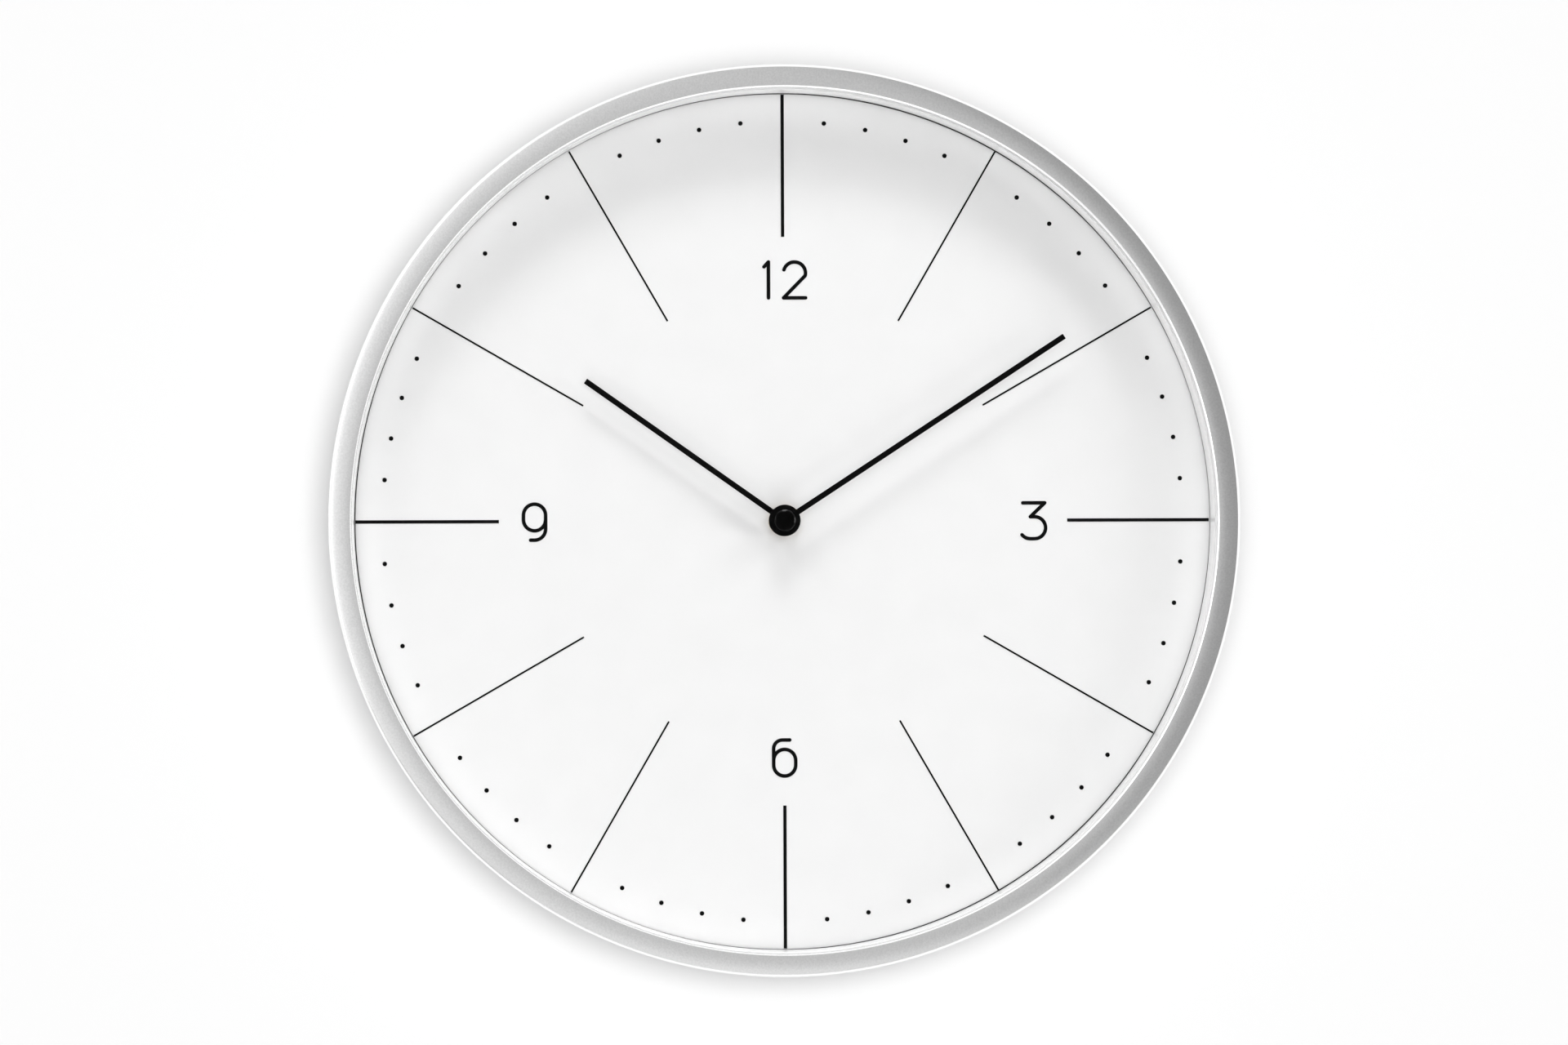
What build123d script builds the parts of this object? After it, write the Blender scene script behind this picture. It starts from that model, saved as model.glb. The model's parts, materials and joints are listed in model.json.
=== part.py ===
from build123d import *

import os

# Round wall clock: aluminium ring, flat glass, white printed dial, two hands, battery movement.
# It is modelled lying on its back, with X towards 3 o'clock, Y towards 12 o'clock and Z out of the wall.
# A level is a height above the wall. The last step stands the clock up so that it faces -Y.

# Case ring
case_diameter = 300.0
case_wall = 1.2
rim_width = 7.25
rim_crown = 0.35
rim_outer_bevel = 0.7
rim_inner_bevel = 0.35
rear_bevel = 0.4
lip_thickness = 1.8
register_height = 6.0
land_above_dial = 1.0

# Glass and its gasket
glass_overlap = 1.75
glass_thickness = 2.0
glass_clearance = 0.3
gasket_thickness = 0.4
gasket_show = 0.75

# Dial, dark edge seal and white spacer ring
dial_thickness = 1.0
dial_hole_clearance = 0.2
seal_thickness = 0.4
seal_show = 0.35
ring_ledge = 0.75
ring_taper = 0.25
ring_top_bevel = 0.3

# Printing on the dial
print_thickness = 0.1
print_edge_gap = 0.05
quarter_line_length = 47.2
quarter_line_width = 1.1
hour_line_length = 64.9
hour_line_width = 0.58
dot_diameter = 1.5
dot_inset = 8.9
numeral_height = 13.1
numeral_width = 8.5
numeral_stroke = 1.2
twelve_gap = 14.3
three_gap = 11.1
six_gap = 15.7
nine_gap = 11.75
side_numeral_drop = 0.2
one_place = -4.75
one_flag_width = 1.45
one_flag_drop = 1.6
two_place = 3.9
two_bowl_start = 163.0
two_bowl_end = -14.0
three_bowl_left = 1.15
three_bowl_right = 0.25
three_bowl_end = -140.0
oval_straight = 1.5
six_tail_radius = 2.9
six_tail_reach = 1.7
nine_tail_radius = 3.65
nine_tail_reach = 1.3

# Hands, shown at about nine and a half minutes past ten
minute_hand_length = 110.9
hour_hand_length = 80.2
hand_width = 1.88
hand_thickness = 0.6
hand_hub_diameter = 10.4
hand_edge_bevel = 0.12
minute_hand_angle = 56.8
hour_hand_angle = 305.2
hour_boss_height = 1.0
hour_boss_wall = 1.0
minute_boss_height = 0.6
minute_boss_wall = 1.4
collar_to_hour_hand = 0.6
hour_to_minute_hand = 1.0
hour_tube_proud = 0.2
cap_diameter = 7.1
cap_height = 2.6
cap_round = 0.9
cap_roof = 0.6
cap_to_glass = 1.8

# Shafts and collar in the middle of the dial
minute_shaft_radius = 1.75
minute_seat_radius = 1.5
minute_thread_radius = 1.2
minute_flange_radius = 2.6
hour_tube_wall = 0.7
collar_wall = 1.45
collar_proud = 1.2
nut_thickness = 1.8
nut_wall = 1.0
nut_slot = 1.2
nut_slot_depth = 0.6
washer_thickness = 1.0
washer_width = 8.0
running_gap = 0.05
press_gap = 0.02

# Going train and motion work: tooth counts, modules and where each arbor stands
rotor_teeth = 10
intermediate_teeth = 50
intermediate_pinion_teeth = 10
seconds_teeth = 60
seconds_pinion_teeth = 8
third_teeth = 64
third_pinion_teeth = 8
centre_teeth = 60
cannon_teeth = 15
motion_teeth = 45
motion_pinion_teeth = 10
hour_teeth = 40
rotor_module = 0.30
intermediate_module = 0.38
third_module = 0.36
motion_module = 0.45
third_direction = 165.0
intermediate_direction = 105.0
motion_direction = 30.0
rotor_direction = 25.0
tooth_addendum = 0.8
tooth_dedendum = 1.1
tooth_root_share = 0.25
tooth_pitch_share = 0.20
tooth_tip_share = 0.09
arbor_radius = 0.6
pivot_radius = 0.45
motion_arbor_radius = 1.0
motion_pivot_radius = 0.6
pivot_depth = 0.7
pivot_end_gap = 0.1

# Layers of the movement, from the wall outwards
knob_to_wall = 1.4
knob_diameter = 11.0
knob_thickness = 2.0
knob_flutes = 20
knob_flute_diameter = 1.0
knob_edge_bevel = 0.3
knob_gap = 0.4
rear_plate = 1.2
wheel_thickness = 1.0
motion_thickness = 1.2
gear_plate_thickness = 1.2
layer_gap = 0.8
pinion_overlap = 0.2
front_plate = 1.0

# Movement case
movement_wall = 1.4
movement_corner = 5.0
movement_edge_bevel = 0.4
partition = 0.9
bay_clearance = 0.4
post_radius = 1.6
post_inset = 2.2
peg_radius = 0.8
plate_clearance = 0.2

# Stepping motor
magnet_radius = 3.0
magnet_height = 2.4
stator_gap = 0.4
stator_thickness = 0.8
stator_margin = 2.6
stator_bridge = 1.2
coil_offset = 6.9
coil_length = 15.0
coil_radius = 2.9
bobbin_flange_radius = 3.2
bobbin_flange = 0.6
bobbin_tube_radius = 1.9
core_width = 2.0
core_thickness = 1.0
core_overhang = 3.4

# Circuit board
board_width = 17.0
board_height = 10.0
board_thickness = 1.0
board_margin = 0.4
chip_diameter = 5.0
chip_height = 0.9
crystal_diameter = 2.0
crystal_length = 6.0

# Battery, one AA cell, and its contacts
battery_diameter = 14.2
battery_length = 50.0
battery_button_diameter = 5.4
battery_button_height = 1.0
battery_bevel = 0.6
battery_clearance = 0.2
contact_room = 1.6
contact_thickness = 0.3
contact_width = 8.0
contact_length = 10.0
contact_gap = 0.05

# Back cover and its screws
rear_recess = 3.0
cover_thickness = 2.5
cover_clearance = 0.3
cover_raise = 0.8
cover_border = 9.0
cover_edge_bevel = 0.3
bead_inset = 58.0
bead_width = 3.0
skirt_wall = 2.5
skirt_inset = 3.5
window_gap = 1.5
window_corner = 6.0
window_frame = 3.0
window_rim_wall = 1.6
window_rim_height = 4.0
rib_count = 8
rib_thickness = 1.6
rib_height = 6.0
screw_count = 6
screw_diameter = 2.2
screw_length = 8.0
screw_head_diameter = 4.0
screw_inset = 2.3
screw_head_height = 1.5
screw_head_bevel = 0.4
screw_cross_length = 2.4
screw_cross_width = 0.6
screw_cross_depth = 0.8
screw_hole_clearance = 0.3
pilot_spare = 1.0

# Keyhole for the wall hook
keyhole_inset = 44.0
keyhole_entry_diameter = 9.5
keyhole_slot_width = 4.2
keyhole_travel = 11.0
keyhole_pad_margin = 4.0
keyhole_pad_thickness = 1.5
keyhole_frame = 2.5

# Radii of the case and of what seats in it
case_radius = case_diameter / 2
wall_radius = case_radius - case_wall
opening_radius = case_radius - rim_width
glass_radius = opening_radius + glass_overlap
seat_radius = glass_radius + glass_clearance
ring_top_radius = opening_radius - ring_ledge
ring_foot_radius = ring_top_radius - ring_taper
seal_radius = ring_foot_radius - seal_show
screw_circle = wall_radius - cover_clearance - screw_inset

# Radii on the hand axis
minute_bore_radius = minute_shaft_radius + running_gap
hour_tube_radius = minute_bore_radius + hour_tube_wall
collar_bore_radius = hour_tube_radius + running_gap
collar_radius = collar_bore_radius + collar_wall
hand_hub_radius = hand_hub_diameter / 2

# Levels of the movement's layers, from the wall outwards
knob_top = knob_to_wall + knob_thickness
movement_rear = knob_top + knob_gap
rear_plate_top = movement_rear + rear_plate
intermediate_level = rear_plate_top + layer_gap
seconds_level = intermediate_level + wheel_thickness + layer_gap
third_level = seconds_level + wheel_thickness + layer_gap
centre_level = third_level + wheel_thickness + layer_gap
gear_plate_level = centre_level + wheel_thickness + layer_gap
gear_plate_top = gear_plate_level + gear_plate_thickness
motion_level = gear_plate_top + layer_gap
hour_level = motion_level + motion_thickness + layer_gap
bay_top = hour_level + motion_thickness + layer_gap
movement_front = bay_top + front_plate

# Levels of the dial, the hands and the glass
dial_back = movement_front + washer_thickness
dial_front = dial_back + dial_thickness
seal_top = dial_front + seal_thickness
nut_top = dial_front + nut_thickness
collar_top = nut_top + collar_proud
hour_boss_level = collar_top + collar_to_hour_hand
hour_hand_level = hour_boss_level + hour_boss_height
hour_hand_top = hour_hand_level + hand_thickness
minute_boss_level = hour_hand_top + hour_to_minute_hand
minute_hand_level = minute_boss_level + minute_boss_height
minute_hand_top = minute_hand_level + hand_thickness
cap_top = minute_hand_top + cap_height
glass_bottom = cap_top + cap_to_glass
glass_top = glass_bottom + glass_thickness
lip_level = glass_top + gasket_thickness
case_depth = lip_level + lip_thickness
cover_top = rear_recess + cover_thickness
cover_raised = rear_recess - cover_raise

# Where the arbors stand in the movement
second_module = third_module * (seconds_pinion_teeth + third_teeth) / (third_pinion_teeth + centre_teeth)
hour_module = motion_module * (cannon_teeth + motion_teeth) / (motion_pinion_teeth + hour_teeth)
third_distance = third_module * (seconds_pinion_teeth + third_teeth) / 2
intermediate_distance = intermediate_module * (intermediate_pinion_teeth + seconds_teeth) / 2
motion_distance = motion_module * (cannon_teeth + motion_teeth) / 2
rotor_distance = rotor_module * (rotor_teeth + intermediate_teeth) / 2


def polar(distance, direction):
    """Point at a distance and a direction in degrees, anticlockwise from 3 o'clock."""
    return Vector(distance, 0).rotate(Axis.Z, direction)


axis_point = Vector(0, 0)
third_point = polar(third_distance, third_direction)
intermediate_point = polar(intermediate_distance, intermediate_direction)
motion_point = polar(motion_distance, motion_direction)
rotor_point = intermediate_point + polar(rotor_distance, rotor_direction)
coil_height = rotor_point.Y + coil_offset
coil_middle = rotor_point.X + magnet_radius + stator_gap + coil_length / 2

# Size of the movement's bays
centre_reach = second_module * (centre_teeth / 2 + tooth_addendum)
seconds_reach = intermediate_module * (seconds_teeth / 2 + tooth_addendum)
hour_reach = hour_module * (hour_teeth / 2 + tooth_addendum)
bay_below = max(centre_reach, seconds_reach, hour_reach) + bay_clearance
bay_above = coil_height + bobbin_flange_radius + bay_clearance
third_reach = -third_point.X + third_module * (third_teeth / 2 + tooth_addendum) + bay_clearance
coil_reach = coil_middle + coil_length / 2 + core_overhang + bay_clearance
bay_half_width = max(battery_length / 2 + contact_room, third_reach, coil_reach)
battery_radius = battery_diameter / 2
battery_bay_top = -bay_below - partition
battery_height = battery_bay_top - battery_clearance - battery_radius
battery_bay_bottom = battery_height - battery_radius - battery_clearance
battery_level = bay_top - battery_clearance - battery_radius
movement_half_width = bay_half_width + movement_wall
movement_top = bay_above + movement_wall
movement_bottom = battery_bay_bottom - movement_wall
movement_height = movement_top - movement_bottom
movement_middle = (movement_top + movement_bottom) / 2


def drum(radius, bottom, top, point=axis_point):
    """Plain cylinder between two levels."""
    return Pos(point.X, point.Y, bottom) * extrude(Circle(radius), top - bottom)


def ring(inner_radius, outer_radius, bottom, top):
    """Plain ring on the hand axis between two levels."""
    return Pos(0, 0, bottom) * extrude(Circle(outer_radius) - Circle(inner_radius), top - bottom)


def block(left, right, low, high, bottom, top):
    """Plain block from its six sides."""
    middle = Pos((left + right) / 2, (low + high) / 2, bottom)
    return middle * extrude(Rectangle(right - left, high - low), top - bottom)


def turned(edges):
    """Solid turned about the hand axis from a closed outline of radius and level."""
    return revolve(Plane.XZ * make_face(edges), Axis.Z)


def around(count, radius, start=0.0):
    """Points evenly spaced on a circle."""
    return [polar(radius, start + 360 * index / count) for index in range(count)]


def toothed(teeth, module, bottom, top, direction, point=axis_point):
    """Wheel or pinion blank with flat-flanked teeth, one tooth pointing in the given direction."""
    pitch_radius = teeth * module / 2
    root = (pitch_radius - tooth_dedendum * module, tooth_root_share)
    flank = (pitch_radius, tooth_pitch_share)
    tip = (pitch_radius + tooth_addendum * module, tooth_tip_share)
    outline = []
    for index in range(teeth):
        for (radius, share), side in ((root, -1), (flank, -1), (tip, -1), (tip, 1), (flank, 1), (root, 1)):
            outline.append(polar(radius, direction + 360 * (index + side * share) / teeth))
    blank = extrude(make_face(Polyline(*outline, close=True)), top - bottom)
    return Pos(point.X, point.Y, bottom) * blank


def mating(direction, teeth):
    """Direction of a wheel's tooth when its gap faces a pinion that points at it in the given direction."""
    return direction + 180 + 180 / teeth


def stroke(path, width):
    """Round-ended line of constant width along a path."""
    return make_face(offset(path, width / 2, kind=Kind.ARC))


# Case ring: bevelled outside, crowned face, lip for the glass, land for the back cover's screws
def make_case_frame():
    face_outer = Vector(case_radius - rim_outer_bevel, case_depth - rim_crown)
    face_inner = Vector(opening_radius + rim_inner_bevel, case_depth - rim_crown)
    face_crown = Vector((face_outer.X + face_inner.X) / 2, case_depth)
    land_top = dial_front + land_above_dial
    register_bottom = lip_level - register_height
    outside = Polyline(
        (wall_radius, 0),
        (case_radius - rear_bevel, 0),
        (case_radius, rear_bevel),
        (case_radius, face_outer.Y - rim_outer_bevel),
        (face_outer.X, face_outer.Y),
    )
    face = ThreePointArc(face_outer, face_crown, face_inner)
    inside = Polyline(
        (face_inner.X, face_inner.Y),
        (opening_radius, face_inner.Y - rim_inner_bevel),
        (opening_radius, lip_level),
        (seat_radius, lip_level),
        (seat_radius, register_bottom),
        (wall_radius, register_bottom),
        (wall_radius, land_top),
        (seat_radius, land_top),
        (seat_radius, cover_top),
        (wall_radius, cover_top),
        (wall_radius, 0),
    )
    frame = turned(outside.edges() + face.edges() + inside.edges())
    pilot_depth = screw_length - cover_thickness - cover_raise + pilot_spare
    for point in around(screw_count, screw_circle):
        frame -= drum(screw_diameter / 2 + press_gap, cover_top, cover_top + pilot_depth, point)
    return frame


def make_spacer_ring():
    outline = Polyline(
        (ring_foot_radius, seal_top),
        (glass_radius, seal_top),
        (glass_radius, glass_bottom),
        (ring_top_radius + ring_top_bevel, glass_bottom),
        (ring_top_radius, glass_bottom - ring_top_bevel),
        close=True,
    )
    return turned(outline.edges())


# Dial printing: lines, dots and numerals stand a little proud of the dial
line_end_radius = seal_radius - print_edge_gap


def hour_line(hour):
    """Radial line for one hour, heavier and shorter at 12, 3, 6 and 9."""
    quarter = hour % 3 == 0
    length = quarter_line_length if quarter else hour_line_length
    width = quarter_line_width if quarter else hour_line_width
    start_radius = line_end_radius - length
    ink_top = dial_front + print_thickness
    bar = block(-width / 2, width / 2, start_radius, line_end_radius, dial_front, ink_top)
    return Rotation(0, 0, -360 * hour / 12) * bar


def make_hour_lines():
    return Compound([hour_line(hour).solid() for hour in range(12)])


def make_minute_dots():
    dots = []
    for minute in range(60):
        if minute % 5:
            point = polar(seal_radius - dot_inset, 90 - 360 * minute / 60)
            dots.append(drum(dot_diameter / 2, dial_front, dial_front + print_thickness, point).solid())
    return Compound(dots)


# Half height and half width of a numeral's centre line
rise = (numeral_height - numeral_stroke) / 2
reach = (numeral_width - numeral_stroke) / 2


def numeral_one():
    return [Polyline((-one_flag_width, rise - one_flag_drop), (0, rise), (0, -rise))]


def numeral_two():
    middle = Vector(0, rise - reach)
    shoulder = middle + polar(reach, two_bowl_end)
    bowl = ThreePointArc(middle + polar(reach, two_bowl_start), middle + polar(reach, 90), shoulder)
    return [bowl + Polyline(shoulder, (-reach, -rise), (reach, -rise))]


def numeral_three():
    left = Vector(-three_bowl_left, reach - rise)
    right = Vector(three_bowl_right, reach - rise)
    corner = left + polar(reach, 90)
    bowl_top = right + polar(reach, 90)
    bowl_foot = right + polar(reach, -90)
    heel = left + polar(reach, -90)
    half_way = (three_bowl_end - 90) / 2
    bowl = ThreePointArc(bowl_top, right + polar(reach, 0), bowl_foot)
    tail = ThreePointArc(heel, left + polar(reach, half_way), left + polar(reach, three_bowl_end))
    return [Polyline((-reach, rise), (reach, rise), corner, bowl_top) + bowl + Line(bowl_foot, heel) + tail]


def numeral_six(tail_radius, tail_reach):
    low = Vector(0, reach - rise)
    high = low + Vector(0, oval_straight)
    tail_middle = Vector(tail_radius - reach, rise - tail_radius)
    tail_top = tail_middle + polar(tail_radius, 90)
    right = Line(low + polar(reach, 0), high + polar(reach, 0))
    top = ThreePointArc(high + polar(reach, 0), high + polar(reach, 90), high + polar(reach, 180))
    left = Line(high + polar(reach, 180), low + polar(reach, 180))
    foot = ThreePointArc(low + polar(reach, 180), low + polar(reach, -90), low + polar(reach, 0))
    stem = Line(high + polar(reach, 180), tail_middle + polar(tail_radius, 180))
    curl = ThreePointArc(stem @ 1, tail_middle + polar(tail_radius, 135), tail_top)
    tail = Line(tail_top, (tail_reach, rise))
    return [right + top + left + foot, stem + curl + tail]


def numeral_nine():
    return [Rotation(0, 0, 180) * path for path in numeral_six(nine_tail_radius, nine_tail_reach)]


def inked(paths, x, y):
    """One numeral as a solid of ink, centred at a point of the dial."""
    half_stroke = numeral_stroke / 2
    figure = Sketch()
    for path in paths:
        wire = Wire(path.edges())
        if wire.is_closed:
            figure += make_face(offset(wire, half_stroke)) - make_face(offset(wire, -half_stroke))
        else:
            figure += stroke(wire, numeral_stroke)
    return (Pos(x, y, dial_front) * extrude(figure, print_thickness)).solid()


def make_numerals():
    line_start = line_end_radius - quarter_line_length
    return Compound([
        inked(numeral_one(), one_place, line_start - twelve_gap),
        inked(numeral_two(), two_place, line_start - twelve_gap),
        inked(numeral_three(), line_start - three_gap, -side_numeral_drop),
        inked(numeral_six(six_tail_radius, six_tail_reach), 0, six_gap - line_start),
        inked(numeral_nine(), nine_gap - line_start, -side_numeral_drop),
    ])


# Hands: straight batons with a round eye and a boss behind it
def make_hand(length, angle, bottom, boss_bottom, boss_radius, bore_radius):
    baton = block(-hand_width / 2, hand_width / 2, 0, length, bottom, bottom + hand_thickness)
    eye = drum(hand_hub_radius, bottom, bottom + hand_thickness)
    eye = chamfer(eye.edges().group_by(Axis.Z)[-1], hand_edge_bevel)
    boss = drum(boss_radius, boss_bottom, bottom)
    hand = baton + eye + boss - drum(bore_radius, boss_bottom, bottom + hand_thickness)
    return Rotation(0, 0, -angle) * hand


def make_hand_cap():
    cap = drum(cap_diameter / 2, minute_hand_top, cap_top)
    cap = fillet(cap.edges().group_by(Axis.Z)[-1], cap_round)
    return cap - drum(minute_thread_radius + press_gap, minute_hand_top, cap_top - cap_roof)


# Shafts on the hand axis
def make_minute_shaft():
    flange_bottom = third_level + wheel_thickness + pinion_overlap
    flange_top = centre_level - pivot_end_gap
    thread_top = cap_top - cap_roof - pivot_end_gap
    cannon_bottom = motion_level - pinion_overlap
    cannon_top = motion_level + motion_thickness + pinion_overlap
    bore_top = gear_plate_top
    return (
        drum(minute_flange_radius, flange_bottom, flange_top)
        + drum(minute_shaft_radius, flange_bottom, minute_boss_level)
        + drum(minute_seat_radius, minute_boss_level, minute_hand_top)
        + drum(minute_thread_radius, minute_hand_top, thread_top)
        + toothed(cannon_teeth, motion_module, cannon_bottom, cannon_top, motion_direction)
        - drum(arbor_radius + running_gap, flange_bottom, bore_top)
    )


def make_hour_wheel():
    wheel_direction = mating(motion_direction + 180, hour_teeth)
    wheel = toothed(hour_teeth, hour_module, hour_level, hour_level + motion_thickness, wheel_direction)
    tube = drum(hour_tube_radius, hour_level, hour_hand_top + hour_tube_proud)
    return wheel + tube - drum(minute_bore_radius, hour_level, hour_hand_top + hour_tube_proud)


def make_motion_wheel():
    wheel_top = motion_level + motion_thickness
    pinion_top = hour_level + motion_thickness + pinion_overlap
    wheel_direction = mating(motion_direction, motion_teeth)
    pinion_direction = motion_direction + 180
    return (
        toothed(motion_teeth, motion_module, motion_level, wheel_top, wheel_direction, motion_point)
        + toothed(motion_pinion_teeth, hour_module, wheel_top, pinion_top, pinion_direction, motion_point)
        + drum(motion_arbor_radius, knob_to_wall + knob_thickness / 2, motion_level, motion_point)
        + drum(motion_pivot_radius, pinion_top, bay_top + pivot_depth - pivot_end_gap, motion_point)
    )


def make_setting_knob():
    knob = drum(knob_diameter / 2, knob_to_wall, knob_top, motion_point)
    knob = chamfer(knob.edges().group_by(Axis.Z)[0], knob_edge_bevel)
    for flute in around(knob_flutes, knob_diameter / 2):
        knob -= drum(knob_flute_diameter / 2, knob_to_wall, knob_top, motion_point + flute)
    socket = drum(motion_arbor_radius + press_gap, knob_to_wall + knob_thickness / 2, knob_top, motion_point)
    return knob - socket


# Going train: each arbor runs from the rear plate to the gear plate
rear_pivot_end = rear_plate_top - pivot_depth + pivot_end_gap


def make_arbor(point):
    shoulder = rear_plate_top + pivot_end_gap
    front_shoulder = gear_plate_level - pivot_end_gap
    rear_pivot = drum(pivot_radius, rear_pivot_end, shoulder, point)
    body = drum(arbor_radius, shoulder, front_shoulder, point)
    front_pivot = drum(pivot_radius, front_shoulder, gear_plate_top, point)
    return rear_pivot + body + front_pivot


def make_seconds_wheel():
    wheel_top = seconds_level + wheel_thickness
    pinion_top = third_level + wheel_thickness + pinion_overlap / 2
    wheel_direction = mating(intermediate_direction + 180, seconds_teeth)
    return (
        toothed(seconds_teeth, intermediate_module, seconds_level, wheel_top, wheel_direction)
        + toothed(seconds_pinion_teeth, third_module, wheel_top, pinion_top, third_direction)
        + drum(pivot_radius, rear_pivot_end, rear_plate_top + pivot_end_gap)
        + drum(arbor_radius, rear_plate_top + pivot_end_gap, gear_plate_top - pivot_end_gap)
    )


def make_third_wheel():
    wheel_top = third_level + wheel_thickness
    pinion_bottom = centre_level - pinion_overlap
    pinion_top = centre_level + wheel_thickness + pinion_overlap
    wheel_direction = mating(third_direction, third_teeth)
    pinion_direction = third_direction + 180
    return (
        toothed(third_teeth, third_module, third_level, wheel_top, wheel_direction, third_point)
        + toothed(third_pinion_teeth, second_module, pinion_bottom, pinion_top, pinion_direction, third_point)
        + make_arbor(third_point)
    )


def make_centre_wheel():
    wheel_top = centre_level + wheel_thickness
    wheel_direction = mating(third_direction + 180, centre_teeth)
    wheel = toothed(centre_teeth, second_module, centre_level, wheel_top, wheel_direction)
    return wheel - drum(minute_bore_radius, centre_level, wheel_top)


def make_intermediate_wheel():
    wheel_top = intermediate_level + wheel_thickness
    pinion_bottom = seconds_level - pinion_overlap
    pinion_top = seconds_level + wheel_thickness + pinion_overlap
    wheel_direction = mating(rotor_direction + 180, intermediate_teeth)
    pinion_direction = intermediate_direction + 180
    wheel = toothed(
        intermediate_teeth,
        rotor_module,
        intermediate_level,
        wheel_top,
        wheel_direction,
        intermediate_point,
    )
    pinion = toothed(
        intermediate_pinion_teeth,
        intermediate_module,
        pinion_bottom,
        pinion_top,
        pinion_direction,
        intermediate_point,
    )
    return wheel + pinion + make_arbor(intermediate_point)


def make_rotor_pinion():
    pinion_bottom = intermediate_level - pinion_overlap
    pinion_top = intermediate_level + wheel_thickness + pinion_overlap
    pinion = toothed(rotor_teeth, rotor_module, pinion_bottom, pinion_top, rotor_direction + 180, rotor_point)
    return pinion + make_arbor(rotor_point)


# Stepping motor: the stator lies across the magnet, the coil's core under the stator's ends
stator_level = third_level
magnet_level = stator_level + stator_thickness / 2 - magnet_height / 2
core_level = stator_level - core_thickness / 2


def make_rotor_magnet():
    magnet = drum(magnet_radius, magnet_level, magnet_level + magnet_height, rotor_point)
    return magnet - drum(arbor_radius + press_gap, magnet_level, magnet_level + magnet_height, rotor_point)


def make_stator():
    hole_radius = magnet_radius + stator_gap
    left = rotor_point.X - hole_radius - stator_margin
    right = coil_middle + coil_length / 2 + core_overhang
    low = rotor_point.Y - hole_radius - stator_bridge
    leg_top = coil_height + core_width / 2
    stator_top = stator_level + stator_thickness
    plate = block(left, right, low, rotor_point.Y + hole_radius / 2, stator_level, stator_top)
    coil_left = coil_middle - coil_length / 2
    left_leg = block(left, coil_left - stator_gap, low, leg_top, stator_level, stator_top)
    right_leg = block(coil_left + coil_length + stator_gap, right, low, leg_top, stator_level, stator_top)
    hole = drum(hole_radius, stator_level, stator_top, rotor_point)
    return plate + left_leg + right_leg - hole


def lying(radius, start, end):
    """Cylinder along the coil's axis."""
    return Pos(start, coil_height, core_level) * (Rotation(0, 90, 0) * extrude(Circle(radius), end - start))


def make_coil_core():
    left = rotor_point.X - magnet_radius - stator_gap - stator_margin
    right = coil_middle + coil_length / 2 + core_overhang
    low = coil_height - core_width / 2
    return block(left, right, low, low + core_width, stator_level - core_thickness, stator_level)


def make_coil_bobbin():
    start = coil_middle - coil_length / 2
    end = coil_middle + coil_length / 2
    tube = lying(bobbin_tube_radius, start, end)
    flanges = lying(bobbin_flange_radius, start, start + bobbin_flange)
    flanges += lying(bobbin_flange_radius, end - bobbin_flange, end)
    slot_width = core_width / 2 + press_gap
    slot_bottom = stator_level - core_thickness - press_gap
    slot_top = stator_level + press_gap
    slot = block(start, end, coil_height - slot_width, coil_height + slot_width, slot_bottom, slot_top)
    return tube + flanges - slot


def make_coil_winding():
    start = coil_middle - coil_length / 2 + bobbin_flange + press_gap
    end = coil_middle + coil_length / 2 - bobbin_flange - press_gap
    return lying(coil_radius, start, end) - lying(bobbin_tube_radius + press_gap, start, end)


# Circuit board, fixed under the gear plate
board_left = -bay_half_width + board_margin
board_top = bay_above - board_margin
board_level = gear_plate_level - board_thickness


def make_circuit_board():
    board_right = board_left + board_width
    board_foot = board_top - board_height
    return block(board_left, board_right, board_foot, board_top, board_level, gear_plate_level)


def make_clock_chip():
    middle = Vector(board_left + chip_diameter, board_top - board_height / 2)
    return drum(chip_diameter / 2, board_level - chip_height, board_level, middle)


def make_quartz_crystal():
    start = board_left + board_width - crystal_length - board_margin
    can = Rotation(0, 90, 0) * extrude(Circle(crystal_diameter / 2), crystal_length)
    return Pos(start, board_top - board_height / 2, board_level - crystal_diameter / 2) * can


# Battery, lying across the foot of the movement, and the strips at its two ends
def make_battery():
    body_length = battery_length - battery_button_height
    start = -battery_length / 2
    body = extrude(Circle(battery_radius), body_length)
    body = chamfer(body.edges().filter_by(GeomType.CIRCLE), battery_bevel)
    button = Pos(0, 0, body_length) * extrude(Circle(battery_button_diameter / 2), battery_button_height)
    return Pos(start, battery_height, battery_level) * (Rotation(0, 90, 0) * (body + button))


def make_contact(side):
    """Sprung strip: a flat back against the bay's wall and a folded nose that meets the cell."""
    back = bay_half_width - contact_gap - contact_thickness / 2
    nose = battery_length / 2 + contact_gap + contact_thickness / 2
    low = battery_level - contact_length / 2
    high = battery_level + contact_length / 2
    fold = Polyline((back, low), (back, high), (nose, battery_level), (back - contact_thickness, low))
    strip = extrude(Plane.XZ * trace(fold, contact_thickness), contact_width / 2, both=True)
    strip = Pos(0, battery_height, 0) * strip
    return strip if side > 0 else mirror(strip, Plane.YZ)


# Movement case: front tray with the threaded collar, rear plate, gear plate on four posts
def post_points():
    x = bay_half_width - post_inset
    return [Vector(side * x, y) for side in (-1, 1) for y in (post_inset - bay_below, bay_above - post_inset)]


def movement_slab(bottom, top):
    """Full outline of the movement, with rounded corners, between two levels."""
    outline = RectangleRounded(2 * movement_half_width, movement_height, movement_corner)
    return Pos(0, movement_middle, bottom) * extrude(outline, top - bottom)


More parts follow.
